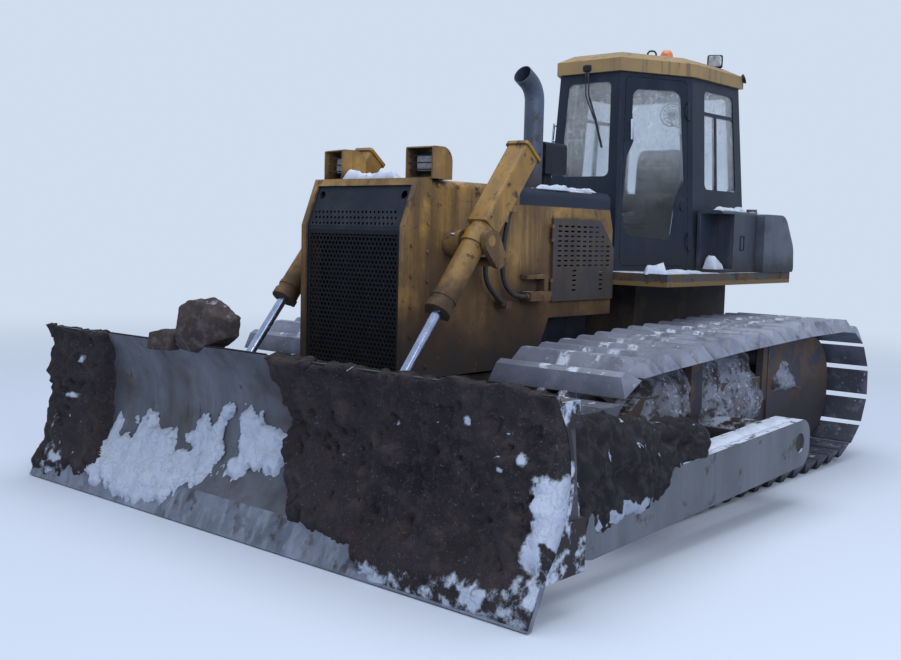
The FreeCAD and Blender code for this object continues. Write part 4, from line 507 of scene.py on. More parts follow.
# %% Steel, rust, earth and snow finishes
finish("blade steel", (92, 97, 110), (78, 83, 95), 1.4, 0.5, """
    streaks 10 0.45 0.14 | 106 111 123 | 0.55 0 0.3
    streaks 5 0.3 0.1 | 70 73 82 | 0.65 0 0.1
    patches 2.4 0.35 0.12 | 56 58 66 | 0.75 0.02
    patches 9 0.16 0.03 | 74 62 56 | 0.8 0.02
    patches 1.7 0.36 0.14 | 66 60 58 | 0.8 0.03
    outer 4 1 | 38 35 41 | 0.95 0.1
    outer 7 0.42 | 168 180 202 | 0.95 0.4""", metal=0.3)
finish("edge steel", (100, 107, 124), (84, 91, 106), 2, 0.42, """
    streaks 16 0.4 0.12 | 124 132 148 | 0.4 0 0.5
    patches 8 0.3 0.06 | 60 60 68 | 0.85 0.03
    patches 3 0.36 0.2 | 140 150 172 | 0.8 0.05""", metal=0.4)
finish("arm steel", (88, 93, 102), (74, 79, 88), 2, 0.42, """
    streaks 3 0.4 0.15 | 104 110 121 | 0.45 0 0.4
    patches 6 0.25 0.05 | 64 62 66 | 0.8 0.02
    settled 9 0.62 0.6 | snow | 0.9 0.5""", metal=0.35)
# Its snow takes the darker snow colour: painted shade.
finish("muddy iron", (38, 36, 42), (30, 29, 35), 5, 0.9, """
    patches 12 0.4 | 50 47 51 | 0.95 0.15
    settled 10 0.3 0.5 | dim-snow | 0.9 0.5""")
# Its corners layer is painted shade, nearly black where the shoes and their lugs close in on one another.
finish("shoe steel", (136, 143, 162), (114, 121, 140), 3, 0.42, """
    splash 8 0.7 0.98 0.25 | 64 69 83 | 0.75 0 0.1
    patches 7 0.35 0.1 | 98 104 121 | 0.65 0.01 0.1
    patches 26 0.18 0.04 | 160 167 185 | 0.5 0 0.2
    corners 0.09 0.95 | 32 34 42 | 0.95
    settled 14 0.22 0.8 | snow | 0.9 0.3
    bands 1.15 0.1 0.05 14 0.5 | snow | 0.9 0.5""", metal=0.25)
# Its snow takes the darker snow colour: painted shade.
finish("chain iron", (38, 40, 48), (52, 50, 52), 8, 0.7, """
    patches 12 0.4 | 64 58 56 | 0.9 0.1
    settled 12 0.4 0.5 | dim-snow | 0.9 0.4""")
finish("track frame rust", (92, 78, 64), (72, 64, 60), 3, 0.8, """
    streaks 9 0.4 | 98 68 46 | 0.85
    patches 4 0.42 0.06 | 60 62 76 | 0.9 0.1
    splash 4 0.35 0.75 0.5 | 46 44 50 | 0.95 0.1
    settled 7 0.55 0.3 | snow | 0.9 0.5""")
finish("hull brown", (52, 47, 46), (42, 40, 43), 3, 0.9, """
    patches 6 0.4 | 68 60 54 | 0.95 0.15
    settled 5 0.45 | snow | 0.9 0.4""")
finish("door rust", (76, 68, 62), (54, 52, 57), 3, 0.65, """
    streaks 9 0.42 | 62 54 50 | 0.8
    edges 0.006 0.6 | 104 88 64 | 0.6
    splash 4 1.1 1.5 0.5 | 54 50 52 | 0.9 0.03""")
finish("chrome rod", (166, 176, 200), (144, 154, 180), 12, 0.18, """
    patches 30 0.2 | 126 128 138 | 0.5 0 0.4""", metal=0.95, grain=(60.0, 0.0))
finish("earth crust", (36, 33, 39), (26, 24, 30), 4, 0.95, """
    patches 1.2 0.45 0.2 | 58 54 58 | 0.95
    patches 2.2 0.4 0.12 | 46 40 42 | 0.95
    patches 5 0.36 0.07 | 60 54 56 | 0.95 0.05
    patches 16 0.42 0.05 | 50 46 51 | 0.95 0.3
    patches 45 0.2 0.03 | 78 79 87 | 0.95 0.1
    patches 90 0.2 0.03 | 96 98 106 | 0.95
    painted 24 | 178 190 211 | 0.9 0.5""", soft=0.12, grain=(90.0, 0.4), **MATT)
# Its snow takes the darker snow colour: painted shade.
finish("clod earth", (70, 62, 60), (54, 49, 52), 6, 0.95, """
    patches 20 0.4 | 82 76 78 | 0.95 0.2
    settled 14 0.25 0.7 | dim-snow | 0.9 0.2""", grain=(90.0, 0.3), **MATT)
finish("arm mud", (38, 37, 43), (30, 29, 35), 6, 0.95, """
    patches 18 0.4 | 52 50 56 | 0.95 0.2
    painted 22 | 150 160 182 | 0.9 0.4""", grain=(90.0, 0.35), **MATT)
finish("dirty snow", (142, 150, 168), (98, 101, 113), 5, 0.9, """
    patches 7 0.42 0.05 | 62 58 64 | 0.95 0.3
    patches 18 0.34 0.05 | 88 84 90 | 0.95 0.2
    patches 26 0.25 0.04 | 176 186 205 | 0.9 0.1""", soft=0.2, grain=(80.0, 0.4))
finish("packed snow", (196, 206, 222), (172, 184, 206), 8, 0.9, """
    patches 30 0.2 0.04 | 128 132 142 | 0.9 -0.1""", grain=(70.0, 0.3))
finish("seat cloth", (52, 54, 62), (42, 44, 52), 6, 0.9, """
    patches 26 0.35 0.06 | 70 70 76 | 0.95""", grain=(420.0, 0.12), **{"Sheen Weight": 0.3})
print("finishes:", len(MATERIALS))

# %% [markdown]
# ## A finish for every solid
#
# Each solid of the frame gets one finish. A table from finish to solids is easier to check against the real
# machine than fifty assignments, and the loop complains if a solid was forgotten.

# %% Dressing the solids
DRESS = {
    "yellow paint": "radiator_guard side_panels hood nose_lamps lift_yokes final_drives",
    "cylinder yellow": "lift_barrel_left lift_barrel_right",
    "roof yellow": "cab_roof",
    "slate paint": "hood_rear cab_shell cab_door_left cab_door_right cowl",
    "box paint": "side_boxes",
    "tank paint": "fuel_tank",
    "platform paint": "platform",
    "black iron": "engine_block air_cleaner roof_lamp seat_base cab_controls nose_lamp_units",
    "radiator fins": "radiator_core",
    "seat cloth": "seat_cushions",
    "exhaust steel": "exhaust_pipe",
    "nose plate green": "nose_plate",
    "grille black": "grille",
    "rubber": "hose_rear_left hose_rear_right hose_front_left hose_front_right",
    "cab glass": "cab_glass door_glass_left door_glass_right",
    "amber lens": "beacon",
    "blade steel": "moldboard",
    "edge steel": "cutting_edge",
    "arm steel": "push_arms",
    "muddy iron": "tilt_cylinder tilt_brace",
    "shoe steel": "track_left track_right",
    "chain iron": "sprockets idlers bottom_rollers carrier_rollers",
    "track frame rust": "track_frames",
    "hull brown": "main_frame cross_beams drawbar",
    "door rust": "engine_door_left engine_door_right",
    "chrome rod": "lift_rod_left lift_rod_right door_handle_left door_handle_right"}
undressed = set(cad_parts)
for name, nodes in DRESS.items():
    for node in undressed.intersection(nodes.split()):
        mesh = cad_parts[node].data
        mesh.materials.clear()
        mesh.materials.append(MATERIALS[name])
        undressed.discard(node)
for hose in hoses:
    hose.data.materials.append(MATERIALS["rubber"])
print("undressed:", undressed or "none")

# %% [markdown]
# ## Floor and light
#
# The stage is a plain pale floor under an even pale sky. Light comes from everywhere, a little more from above
# and from the camera's side, as on an overcast day or under a big soft box, so shadows are soft and colours
# come out about as they are written. The sky looks white to the camera, to gloss and through glass, and gives
# the object less light than that, which is set apart with the Light Path node.

# %% Stage
FLOOR_HALF = 60.0
FADE_FROM, FADE_TO = 3.5, 16.0
SKY_SEEN, SKY_LIGHT, FLOOR_PALE = seen(208, 221, 238), (0.56, 0.60, 0.68, 1), seen(206, 217, 235)


def looked_at(tree):
    """1 for rays that show the background to the camera, in gloss or through glass, 0 for those that light."""
    path = add(tree, "LightPath").outputs
    return sums(tree, "MAXIMUM", path["Is Camera Ray"],
                sums(tree, "MAXIMUM", path["Is Glossy Ray"], path["Is Transmission Ray"]))


def soft_box(name, place, aim, wide, watts):
    """A square lamp of that width at place, turned to face aim."""
    data = bpy.data.lights.new(name, "AREA")
    data.size = wide
    data.energy = watts
    back = unit(np.array(place, float) - np.array(aim, float))
    side = unit(np.cross((0.0, 0.0, 1.0), back)) if abs(back[2]) < 0.99 else (1.0, 0.0, 0.0)
    return stand(name, data, side, np.cross(back, side), back, place)


floor_mesh = bpy.data.meshes.new("floor")
floor_corners = [(x * FLOOR_HALF, y * FLOOR_HALF, 0) for x, y in ((-1, -1), (1, -1), (1, 1), (-1, 1))]
floor_mesh.from_pydata(floor_corners, [], [(0, 1, 2, 3)])
floor = bpy.data.objects.new("floor", floor_mesh)
bpy.context.collection.objects.link(floor)

floor_paint = bpy.data.materials.new("floor")
tree = fresh(floor_paint)
place = add(tree, "TexCoord").outputs["Object"]
far_off = add(tree, "VectorMath", {0: place}, operation="LENGTH").outputs["Value"]
near_floor = add(tree, "BsdfPrincipled", {"Base Color": FLOOR_PALE, "Roughness": 0.95})
far_floor = add(tree, "Emission", {"Color": SKY_SEEN, "Strength": 1.0})
faded = times(tree, ramped(tree, far_off, FADE_FROM, FADE_TO), looked_at(tree))
blended = add(tree, "MixShader", {0: faded, 1: near_floor.outputs[0], 2: far_floor.outputs[0]})
tree.links.new(blended.outputs[0], add(tree, "OutputMaterial").inputs["Surface"])
floor_mesh.materials.append(floor_paint)

world = bpy.data.worlds.new("sky")
bpy.context.scene.world = world
tree = fresh(world)
sky = add(tree, "Background", {"Color": colours(tree, looked_at(tree), SKY_LIGHT, SKY_SEEN), "Strength": 1.0})
tree.links.new(sky.outputs[0], add(tree, "OutputWorld").inputs["Surface"])

lamps = [soft_box("overhead", (0.5, 0.5, 9.0), (0, 0, 0), 8.0, 420),
         soft_box("camera side", (6.0, 9.0, 5.5), (0.3, 0, 1.0), 5.0, 330)]
bpy.context.scene.view_settings.view_transform = "Standard"
print("lamps:", [lamp.name for lamp in lamps])

# %% [markdown]
# ## Surfaces worked out with numpy
#
# Every added piece is a surface computed as whole arrays: a grid of points from a formula, or a profile carried
# along a path. Modelling such forms by hand would be slower and couldn't be repeated exactly. A few helpers are
# enough: one puts points and faces into a mesh, one closes two grids into a shell, one sweeps a round section
# along a path, one turns a profile about an axis, and the others copy, mirror and join what these made.

# %% Meshes and grids
def piece(name, points, faces, paint, body, smooth=True, instead_of=None):
    """A mesh object from points (n, 3) and faces (m, 4), riding on a body; instead_of names a solid it hides."""
    mesh = bpy.data.meshes.new(name)
    mesh.from_pydata(np.asarray(points, float).tolist(), [], np.asarray(faces).tolist())
    work = bmesh.new()
    work.from_mesh(mesh)
    bmesh.ops.remove_doubles(work, verts=work.verts, dist=1e-5)
    bmesh.ops.recalc_face_normals(work, faces=work.faces)
    work.to_mesh(mesh)
    work.free()
    mesh.polygons.foreach_set("use_smooth", np.full(len(mesh.polygons), smooth))
    mesh.materials.append(MATERIALS[paint])
    made = bpy.data.objects.new(name, mesh)
    bpy.context.collection.objects.link(made)
    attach(made, body)
    if instead_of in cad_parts:
        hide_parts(instead_of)
    print(f"{name}: {len(mesh.polygons)} faces on {body}")
    return made


def grid(first, second):
    """Two arrays over a grid: the first changes from row to row, the second from column to column."""
    return np.meshgrid(first, second, indexing="ij")


def quads(rows, columns, start=0, wrap=False):
    """The faces of a grid of points numbered row by row; wrap joins the last column to the first."""
    row, column = grid(np.arange(rows - 1), np.arange(columns if wrap else columns - 1))
    after = (column + 1) % columns
    corners_of = (row * columns + column, row * columns + after, (row + 1) * columns + after,
                  (row + 1) * columns + column)
    return start + np.stack(corners_of, axis=-1).reshape(-1, 4)


def wrapped(rings):
    """Points and faces of a grid (rows, sides, 3) of which each row is a closed ring."""
    return rings.reshape(-1, 3), quads(*rings.shape[:2], wrap=True)


def shell(front, back):
    """Points and faces of the closed skin between two grids of one size: front, back and the rim between."""
    rows, columns, _ = front.shape
    count = rows * columns
    rim = np.concatenate((np.arange(columns), np.arange(1, rows) * columns + columns - 1,
                          (rows - 1) * columns + np.arange(columns - 2, -1, -1),
                          np.arange(rows - 2, 0, -1) * columns))
    after = np.roll(rim, -1)
    side_faces = np.stack((rim, after, after + count, rim + count), axis=-1)
    faces = np.concatenate((quads(rows, columns), quads(rows, columns, count)[:, ::-1], side_faces))
    return np.concatenate((front.reshape(-1, 3), back.reshape(-1, 3))), faces


print("a grid of 3 by 4 points has", len(quads(3, 4)), "faces")

# %% Tubes and turned bodies
def square_to(axis):
    """Two directions square to an axis and to each other, for one axis or for many of much the same way."""
    guide = np.eye(3)[np.argmin(np.abs(np.atleast_2d(axis)).max(axis=0))]
    across = unit(np.cross(axis, guide))
    return across, np.cross(axis, across)


def around(axis, sides):
    """The directions of equal spokes round an axis, (sides, 3), or round each of n axes, (n, sides, 3)."""
    across, outward = (np.asarray(way)[..., None, :] for way in square_to(axis))
    turn = np.linspace(0, 2 * np.pi, sides, endpoint=False)[:, None]
    return np.cos(turn) * across + np.sin(turn) * outward


def swept(path, radius, sides=10):
    """A closed round tube along a path (n, 3): each ring stands square to the path, with a cap at each end."""
    path = np.asarray(path, float)
    rings = path[:, None] + radius * around(unit(np.gradient(path, axis=0)), sides)
    first, last = (np.repeat(end, sides, axis=0)[None] for end in (path[:1], path[-1:]))
    return wrapped(np.concatenate((first, rings, last)))


def turned(profile, start, axis, sides=24):
    """A body of revolution: (radius, distance along the axis) pairs turned about an axis from start."""
    radius, distance = np.array(profile, float).T[..., None, None]
    axis = unit(axis)
    return wrapped(np.asarray(start) + distance * axis + radius * around(axis, sides))


def ring(middle, radius, thick, axis, count=32, sides=8):
    """A round wire ring: a small circle carried once round the axis, closed on itself."""
    axis = unit(axis)
    outward = around(axis, count)
    turn = np.linspace(0, 2 * np.pi, sides, endpoint=False)[:, None]
    section = np.cos(turn) * outward[:, None] + np.sin(turn) * axis
    points = (np.asarray(middle) + radius * outward)[:, None] + thick * section
    index = np.arange(count * sides).reshape(count, sides)
    after, beside = np.roll(index, -1, axis=0), np.roll(index, -1, axis=1)
    faces = np.stack((index, beside, np.roll(after, -1, axis=1), after), axis=-1)
    return points.reshape(-1, 3), faces.reshape(-1, 4)


def joined(parts):
    """Several (points, faces) as one."""
    starts = np.cumsum([0] + [len(points) for points, _ in parts[:-1]])
    return (np.concatenate([points for points, _ in parts]),
            np.concatenate([faces + start for (_, faces), start in zip(parts, starts)]))


def strewn(template, places):
    """A template (points, faces) repeated at places (n, 3)."""
    points, faces = template
    repeated = faces + (np.arange(len(places)) * len(points))[:, None, None]
    return (points + np.asarray(places, float)[:, None]).reshape(-1, 3), repeated.reshape(-1, faces.shape[1])


def mirrored(part):
    """The same points and faces on the machine's other side."""
    points, faces = part
    return points * (1, -1, 1), faces[:, ::-1]


print("a tube has", len(swept([(0, 0, 0), (0, 0, 1)], 0.1)[0]), "points")

# %% [markdown]
# ## Lumps from random numbers
#
# Earth and snow need bumps of every size. Value noise gives them: a random number sits at each corner of a
# grid of cubes and is blended smoothly in between, and several such fields, each half as large and half as
# strong, are added up. The numbers come from a seeded table, so every run gives the same lumps.

# %% Noise
RANDOM_TABLE = np.random.default_rng(17).random(8192)
HASH = 73856093, 19349663, 83492791


def smooth(value, low, high):
    """0 below low, 1 above high and a smooth step between, for arrays."""
    share = np.clip((value - low) / (high - low), 0, 1)
    return share * share * (3 - 2 * share)


def lumps(x, y, z, size, octaves=4):
    """Fractal value noise about 0: octaves of smoothly blended random corner values, each half the last."""
    total, weight = np.zeros(np.broadcast(x, y, z).shape), 1.0
    for octave in range(octaves):
        scale = 2.0 ** octave / size
        corner, part = [], []
        for number, axis in enumerate((x, y, z)):
            moved = np.asarray(axis) * scale + 31.7 * (number + 1) + 5.3 * octave
            corner.append(np.floor(moved).astype(np.int64))
            part.append(smooth(moved - np.floor(moved), 0, 1))
        value = np.zeros(total.shape)
        for step in np.ndindex(2, 2, 2):
            keys = [(corner[n] + step[n]) * HASH[n] for n in range(3)]
            shares = [np.abs(step[n] - 1 + part[n]) for n in range(3)]
            value += RANDOM_TABLE[(keys[0] ^ keys[1] ^ keys[2]) & 8191] * (shares[0] * shares[1] * shares[2])
        total += weight * (value - 0.5)
        weight /= 2
    return total


def lumps_at(points, size, octaves):
    """The same at an array of points (..., 3)."""
    return lumps(points[..., 0], points[..., 1], points[..., 2], size, octaves)


def curve(at, table):
    """The value at a place on a line through (place, value) pairs."""
    return np.interp(at, *np.array(table).T)


print("noise spans", round(float(lumps(np.linspace(0, 9, 500), 0.0, 0.0, 1.0).max()), 2))

# %% [markdown]
# ## Frozen earth and snow on the blade
#
# A block of frozen earth sticks to the left half of the blade and to its far right end, and snow lies packed
# against the bare middle. Paint can't give it: it fills the hollow of the blade by a hand's breadth and changes
# its outline. So it is a height field: one grid lies over the whole face, and its height above the steel is
# worked out from borders, as ragged as noise makes them. Where the height is negative the skin dips behind the
# face and can't be seen, and that draws the edge of each patch.

# %% The blade's face as a formula
FACE_X, FACE_Z, FACE_R = 2.91558, 0.61989, 0.57137
FOOT, TIP = (2.545, 0.185), (2.631, 0.008)
BLADE_TOP, TOP_X, BLADE_HALF = 1.0, 2.489, 2.075
SLOPE_STEP = 0.004


def face_x(z):
    """Steel face of the blade at a height: an arc down to the foot, then the sloping cutting edge."""
    arc = FACE_X - np.sqrt(np.maximum(FACE_R ** 2 - (z - FACE_Z) ** 2, 0))
    edge = FOOT[0] + (FOOT[1] - z) / (FOOT[1] - TIP[1]) * (TIP[0] - FOOT[0])
    return np.where(z < FOOT[1], edge, arc)


def face_lean(z):
    """Unit (x, z) direction that points forwards out of the face."""
    slope = (face_x(z + SLOPE_STEP) - face_x(z - SLOPE_STEP)) / (2 * SLOPE_STEP)
    size = np.sqrt(1 + slope ** 2)
    return 1 / size, -slope / size


print("face x at the hollow:", round(float(face_x(np.array(0.59))), 3))

# %% The earth's borders and depth
Z, Y = grid(np.linspace(0.010, BLADE_TOP, 79), np.linspace(0.002 - BLADE_HALF, BLADE_HALF - 0.002, 321))
X = face_x(Z)

# The earth's borders as (height, y) pairs and, at the foot, (y, height) pairs
LEFT_INNER = [(0.0, 0.70), (0.06, 0.62), (0.15, 0.46), (0.30, 0.30), (0.50, 0.255), (0.75, 0.27), (0.88, 0.24),
              (1.0, 0.19)]
LEFT_FOOT = [(0.3, 0.17), (0.8, 0.13), (1.1, 0.05), (1.25, -0.08), (2.1, -0.08)]
RIGHT_INNER = [(0.0, -1.32), (0.2, -1.33), (0.35, -1.42), (0.55, -1.50), (0.8, -1.46), (1.0, -1.34)]
RIGHT_FOOT = [(-2.1, 0.02), (-1.75, 0.07), (-1.3, 0.16)]
ragged = 0.07 * lumps(X, Y, Z, 0.16, 5) + 0.035 * lumps(0.0, Y, Z, 0.05, 3)
inside_left = np.minimum(Y - curve(Z, LEFT_INNER), Z - curve(Y, LEFT_FOOT)) + ragged
inside_right = np.minimum(curve(Z, RIGHT_INNER) - Y, Z - curve(Y, RIGHT_FOOT)) + ragged

# towards both ends the earth fills the hollow up to the straight line from the foot to the top edge
chord = np.where(Z < FOOT[1], X + 0.03, FOOT[0] + (Z - FOOT[1]) / (BLADE_TOP - FOOT[1]) * (TOP_X - FOOT[0]))
to_chord = (chord - X) / face_lean(Z)[0]
fill = np.clip((FACE_X - 0.44 - X) / 0.17, 0.12, 1.0)
clumps = lumps(X, Y, Z, 0.22, 5)
relief = 0.030 * lumps(X, Y, Z, 0.09, 3) + 0.014 * lumps(X, Y, Z, 0.035, 3)
pits = 0.028 * smooth(lumps(X, Y, Z, 0.075, 3), 0.22, 0.42)


def heaped(inside, deep, rim=0.04):
    """Height of a patch: negative outside its border, rising over the rim to its depth inside."""
    return np.where(inside < 0, np.maximum(inside * 0.6 - 0.004, -0.009), deep * smooth(inside, -0.004, rim))


middle_deep = 0.055 + 0.05 * fill + 0.10 * clumps
end_deep = np.maximum(to_chord - 0.005 + 0.06 * clumps, 0.035)
earth_deep = middle_deep + smooth(np.abs(Y), 1.15, 1.85) * (end_deep - middle_deep)
earth_deep = np.maximum(earth_deep + relief - pits, 0.008)
earth_height = np.maximum(heaped(inside_left, earth_deep), heaped(inside_right, earth_deep))
print("deepest earth:", round(float(earth_height.max()), 3), "m")

# %% Snow on the bare middle and frost along the foot
# (y, height) pairs
SNOW_TOP = [(-1.45, 0.20), (-1.40, 0.50), (-1.32, 0.42), (-1.25, 0.58), (-1.18, 0.44), (-1.05, 0.54),
            (-0.92, 0.40), (-0.8, 0.46), (-0.72, 0.36), (-0.60, 0.50), (-0.50, 0.62), (-0.42, 0.55),
            (-0.30, 0.70), (-0.22, 0.66), (-0.12, 0.63), (0.0, 0.66), (0.10, 0.58), (0.24, 0.60), (0.3, 0.50)]
SNOW_FOOT = [(-1.45, 0.14), (-1.25, 0.035), (-0.95, 0.02), (-0.62, 0.03), (-0.56, 0.19), (-0.2, 0.26),
             (0.05, 0.33), (0.3, 0.42)]
FROST_TOP = [(-2.08, 0.13), (-1.3, 0.11), (-1.0, 0.05), (-0.64, 0.02), (-0.6, -0.3), (0.3, -0.3), (0.36, 0.05),
             (1.0, 0.09), (1.4, 0.13), (1.95, 0.16), (2.08, 0.24)]
spiky = (0.10 * lumps(0.0, Y * 2.2, Z * 0.5, 0.16, 5) + 0.07 * lumps(0.0, Y * 1.5, Z, 0.07, 4)
         + 0.03 * lumps(X, Y, Z, 0.03, 2))
inside_snow = np.minimum(curve(Y, SNOW_TOP) - Z, Z - curve(Y, SNOW_FOOT)) + spiky
inside_snow = np.where((Y > -1.48) & (Y < 0.30), inside_snow, -1.0)
inside_snow -= 0.25 * smooth(lumps(0.0, Y, Z, 0.17, 4), 0.02, 0.14) * smooth(Z, 0.26, 0.45)
inside_frost = curve(Y, FROST_TOP) - Z + 0.07 * lumps(0.0, Y * 3.0, Z * 0.7, 0.15, 4)
inside_frost = np.where(curve(Y, FROST_TOP) > 0, inside_frost, -1.0)
snow_height = heaped(inside_snow, np.maximum(0.028 + 0.045 * clumps + 0.4 * relief, 0.006), 0.03)
print("deepest snow:", round(float(snow_height.max()), 3), "m")

# %% Where earth and steel are white with frost
# columns: y, height, half width, half height, strength
WHITE_SPOTS = [(1.86, 0.76, 0.045, 0.045, 0.9), (1.93, 0.72, 0.04, 0.04, 0.85), (1.80, 0.66, 0.03, 0.035, 1.0),
               (2.02, 0.62, 0.06, 0.07, 1.1), (2.05, 0.50, 0.05, 0.10, 1.2), (2.04, 0.33, 0.05, 0.11, 1.1),
               (2.00, 0.19, 0.07, 0.08, 0.9), (1.60, 0.88, 0.04, 0.03, 0.6), (1.12, 0.78, 0.03, 0.03, 0.6),
               (0.75, 0.52, 0.04, 0.03, 0.5), (1.10, 0.55, 0.03, 0.04, 0.5), (-1.75, 0.55, 0.10, 0.05, 0.6),
               (-1.85, 0.16, 0.20, 0.08, 0.7), (-1.62, 0.86, 0.08, 0.04, 0.6), (-1.95, 0.35, 0.06, 0.10, 0.5)]
spots = sum(strength * np.exp(-((Y - y) / wide) ** 2 - ((Z - z) / high) ** 2)
            for y, z, wide, high, strength in WHITE_SPOTS)
streaky = lumps(X, Y, Z, 0.07, 5)
whiteness = np.maximum.reduce((
    smooth(snow_height - earth_height, -0.004, 0.010),
    np.clip(spots * (0.8 + 1.0 * streaky), 0, 1),
    0.62 * smooth(inside_frost, -0.03, 0.05) * (0.85 + 0.9 * streaky),
    0.6 * smooth(lumps(X, Y, Z, 0.045, 3), 0.50, 0.60)))
print("snow share:", round(float(whiteness.mean()), 2))

# %% The crust as one closed skin
def whitened(made, values):
    """Gives a piece the mask that its finish calls painted."""
    made.data.attributes.new("white", "FLOAT", "POINT").data.foreach_set("value", values)


crust_height = np.maximum(earth_height, snow_height)
end_fade = 0.85 + 0.15 * smooth(BLADE_HALF - np.abs(Y), 0.0, 0.03)
crust_height = np.where(crust_height > 0, crust_height * end_fade, crust_height)
lean_x, lean_z = face_lean(Z)
earthy = smooth(earth_height, 0.01, 0.04)
top_lift = smooth(Z, 0.93, 1.0) * earthy * (0.018 + 0.07 * lumps(0.0, Y, 0.0, 0.11, 4))
front = np.stack((np.minimum(X + lean_x * crust_height, TIP[0] - 0.004), Y,
                  np.maximum(Z + lean_z * crust_height + top_lift, 0.010)), axis=-1)
sunk = np.minimum(crust_height, 0) - 0.006
back = np.stack((X + lean_x * sunk, Y, Z + lean_z * sunk), axis=-1)
back[-1, :, 0] -= 0.03 * earthy[-1]
back[-1, :, 2] += 0.4 * np.maximum(top_lift[-1], 0) + 0.004 * earthy[-1]
whitened(piece("blade_crust", *shell(front, back), "earth crust", "blade"), np.tile(whiteness.ravel(), 2))

# %% [markdown]
# ## Lumps of earth
#
# One frozen clod sits on the blade's top edge. A clod breaks along flat faces, so it is worked out as a body
# seen from its middle: in each direction its surface is as far away as the nearest of a few planes. A soft
# minimum instead of a hard one rounds the breaks a little.

# %% Clods
def directions(rows, sides):
    """Unit directions (rows, sides, 3) all round a middle, from straight up to straight down."""
    polar, turn = grid(np.linspace(0, np.pi, rows), np.linspace(0, 2 * np.pi, sides, endpoint=False))
    return np.stack((np.sin(polar) * np.cos(turn), np.sin(polar) * np.sin(turn), np.cos(polar)), axis=-1)


def clod(centre, planes, rows=56, sides=100, crisp=60):
    """A broken lump: in each direction the soft minimum of the distances to its planes, plus fine noise."""
    planes, way = np.asarray(planes, float), directions(rows, sides)
    nearness = np.maximum(way @ unit(planes[:, :3]).T, 0) / planes[:, 3]
    distance = (nearness ** crisp).sum(axis=-1) ** (-1 / crisp)
    points = np.asarray(centre) + way * distance[..., None]
    push = 0.016 * lumps_at(points, 0.09, 4) + 0.006 * lumps_at(points, 0.025, 2)
    return wrapped(points + way * push[..., None])


def random_planes(count, size, seed):
    """Planes in random directions round an oval body: the farther out, the longer the body is that way."""
    rng = np.random.default_rng(seed)
    normals = unit(rng.normal(size=(count, 3)))
    reach = np.linalg.norm(normals * np.asarray(size), axis=1) * rng.uniform(0.82, 1.0, count)
    return np.column_stack((normals, reach))


# columns: the plane's direction and its distance from the middle of the clod
WEDGE = [(0.0, -1.0, 0.15, 0.27), (0.1, -0.265, 0.964, 0.172), (0.15, 0.454, 0.891, 0.180),
         (0.0, 0.965, -0.263, 0.215), (0.0, 0.40, -0.917, 0.115), (0.0, 0.0, -1.0, 0.125),
         (0.95, 0.10, 0.30, 0.115), (0.80, -0.50, 0.10, 0.135), (0.70, 0.50, -0.30, 0.125),
         (-1.0, 0.0, 0.20, 0.10), (-0.6, -0.5, 0.3, 0.13), (0.75, -0.2, -0.6, 0.13)]
SHOULDER = [(0.0, -0.9, 0.43, 0.16), (0.0, -0.3, 0.95, 0.050), (0.0, 0.2, 0.98, 0.075), (0.0, 1.0, 0.0, 0.17),
            (0.0, 0.0, -1.0, 0.05), (0.9, 0.1, 0.4, 0.08), (-1.0, 0.0, 0.2, 0.08), (0.7, -0.6, 0.2, 0.09)]
end_lumps = [clod((2.28, side * 1.955, 0.47), random_planes(18, (0.12, 0.06, 0.18), 31)) for side in (1, -1)]
blade_lumps = [clod((2.435, -0.45, 1.085), WEDGE), clod((2.445, -0.80, 1.005), SHOULDER)]
piece("blade_clod", *joined(blade_lumps), "clod earth", "blade")
piece("end_snow", *joined(end_lumps), "dirty snow", "blade")

# %% [markdown]
# ## Mud round the tilt strut
#
# Mud has frozen round the front of each push arm and its strut, and it is higher towards the blade. Its section
# is an oval between two lines, the upper and the lower one, and the ovals follow one another along the arm.
# Noise pushes every point out or in, so that no two ovals are alike.

# %% Arm mud
# columns: x, top, bottom, outer y
MUD_LINE = [(0.72, 0.56, 0.52, 1.88), (0.76, 0.645, 0.49, 1.92), (0.86, 0.675, 0.45, 1.945),
            (1.10, 0.69, 0.46, 1.955), (1.27, 0.71, 0.42, 1.965), (1.34, 0.72, 0.31, 1.975),
            (1.41, 0.73, 0.21, 1.985), (1.52, 0.75, 0.24, 1.985), (1.65, 0.77, 0.29, 1.985),
            (1.81, 0.81, 0.25, 1.985), (2.00, 0.87, 0.22, 1.98), (2.16, 0.93, 0.22, 1.97), (2.24, 0.91, 0.25, 1.96)]
MUD_INNER, MUD_CLEAR, MUD_OUTER = 1.715, 1.66, 2.04


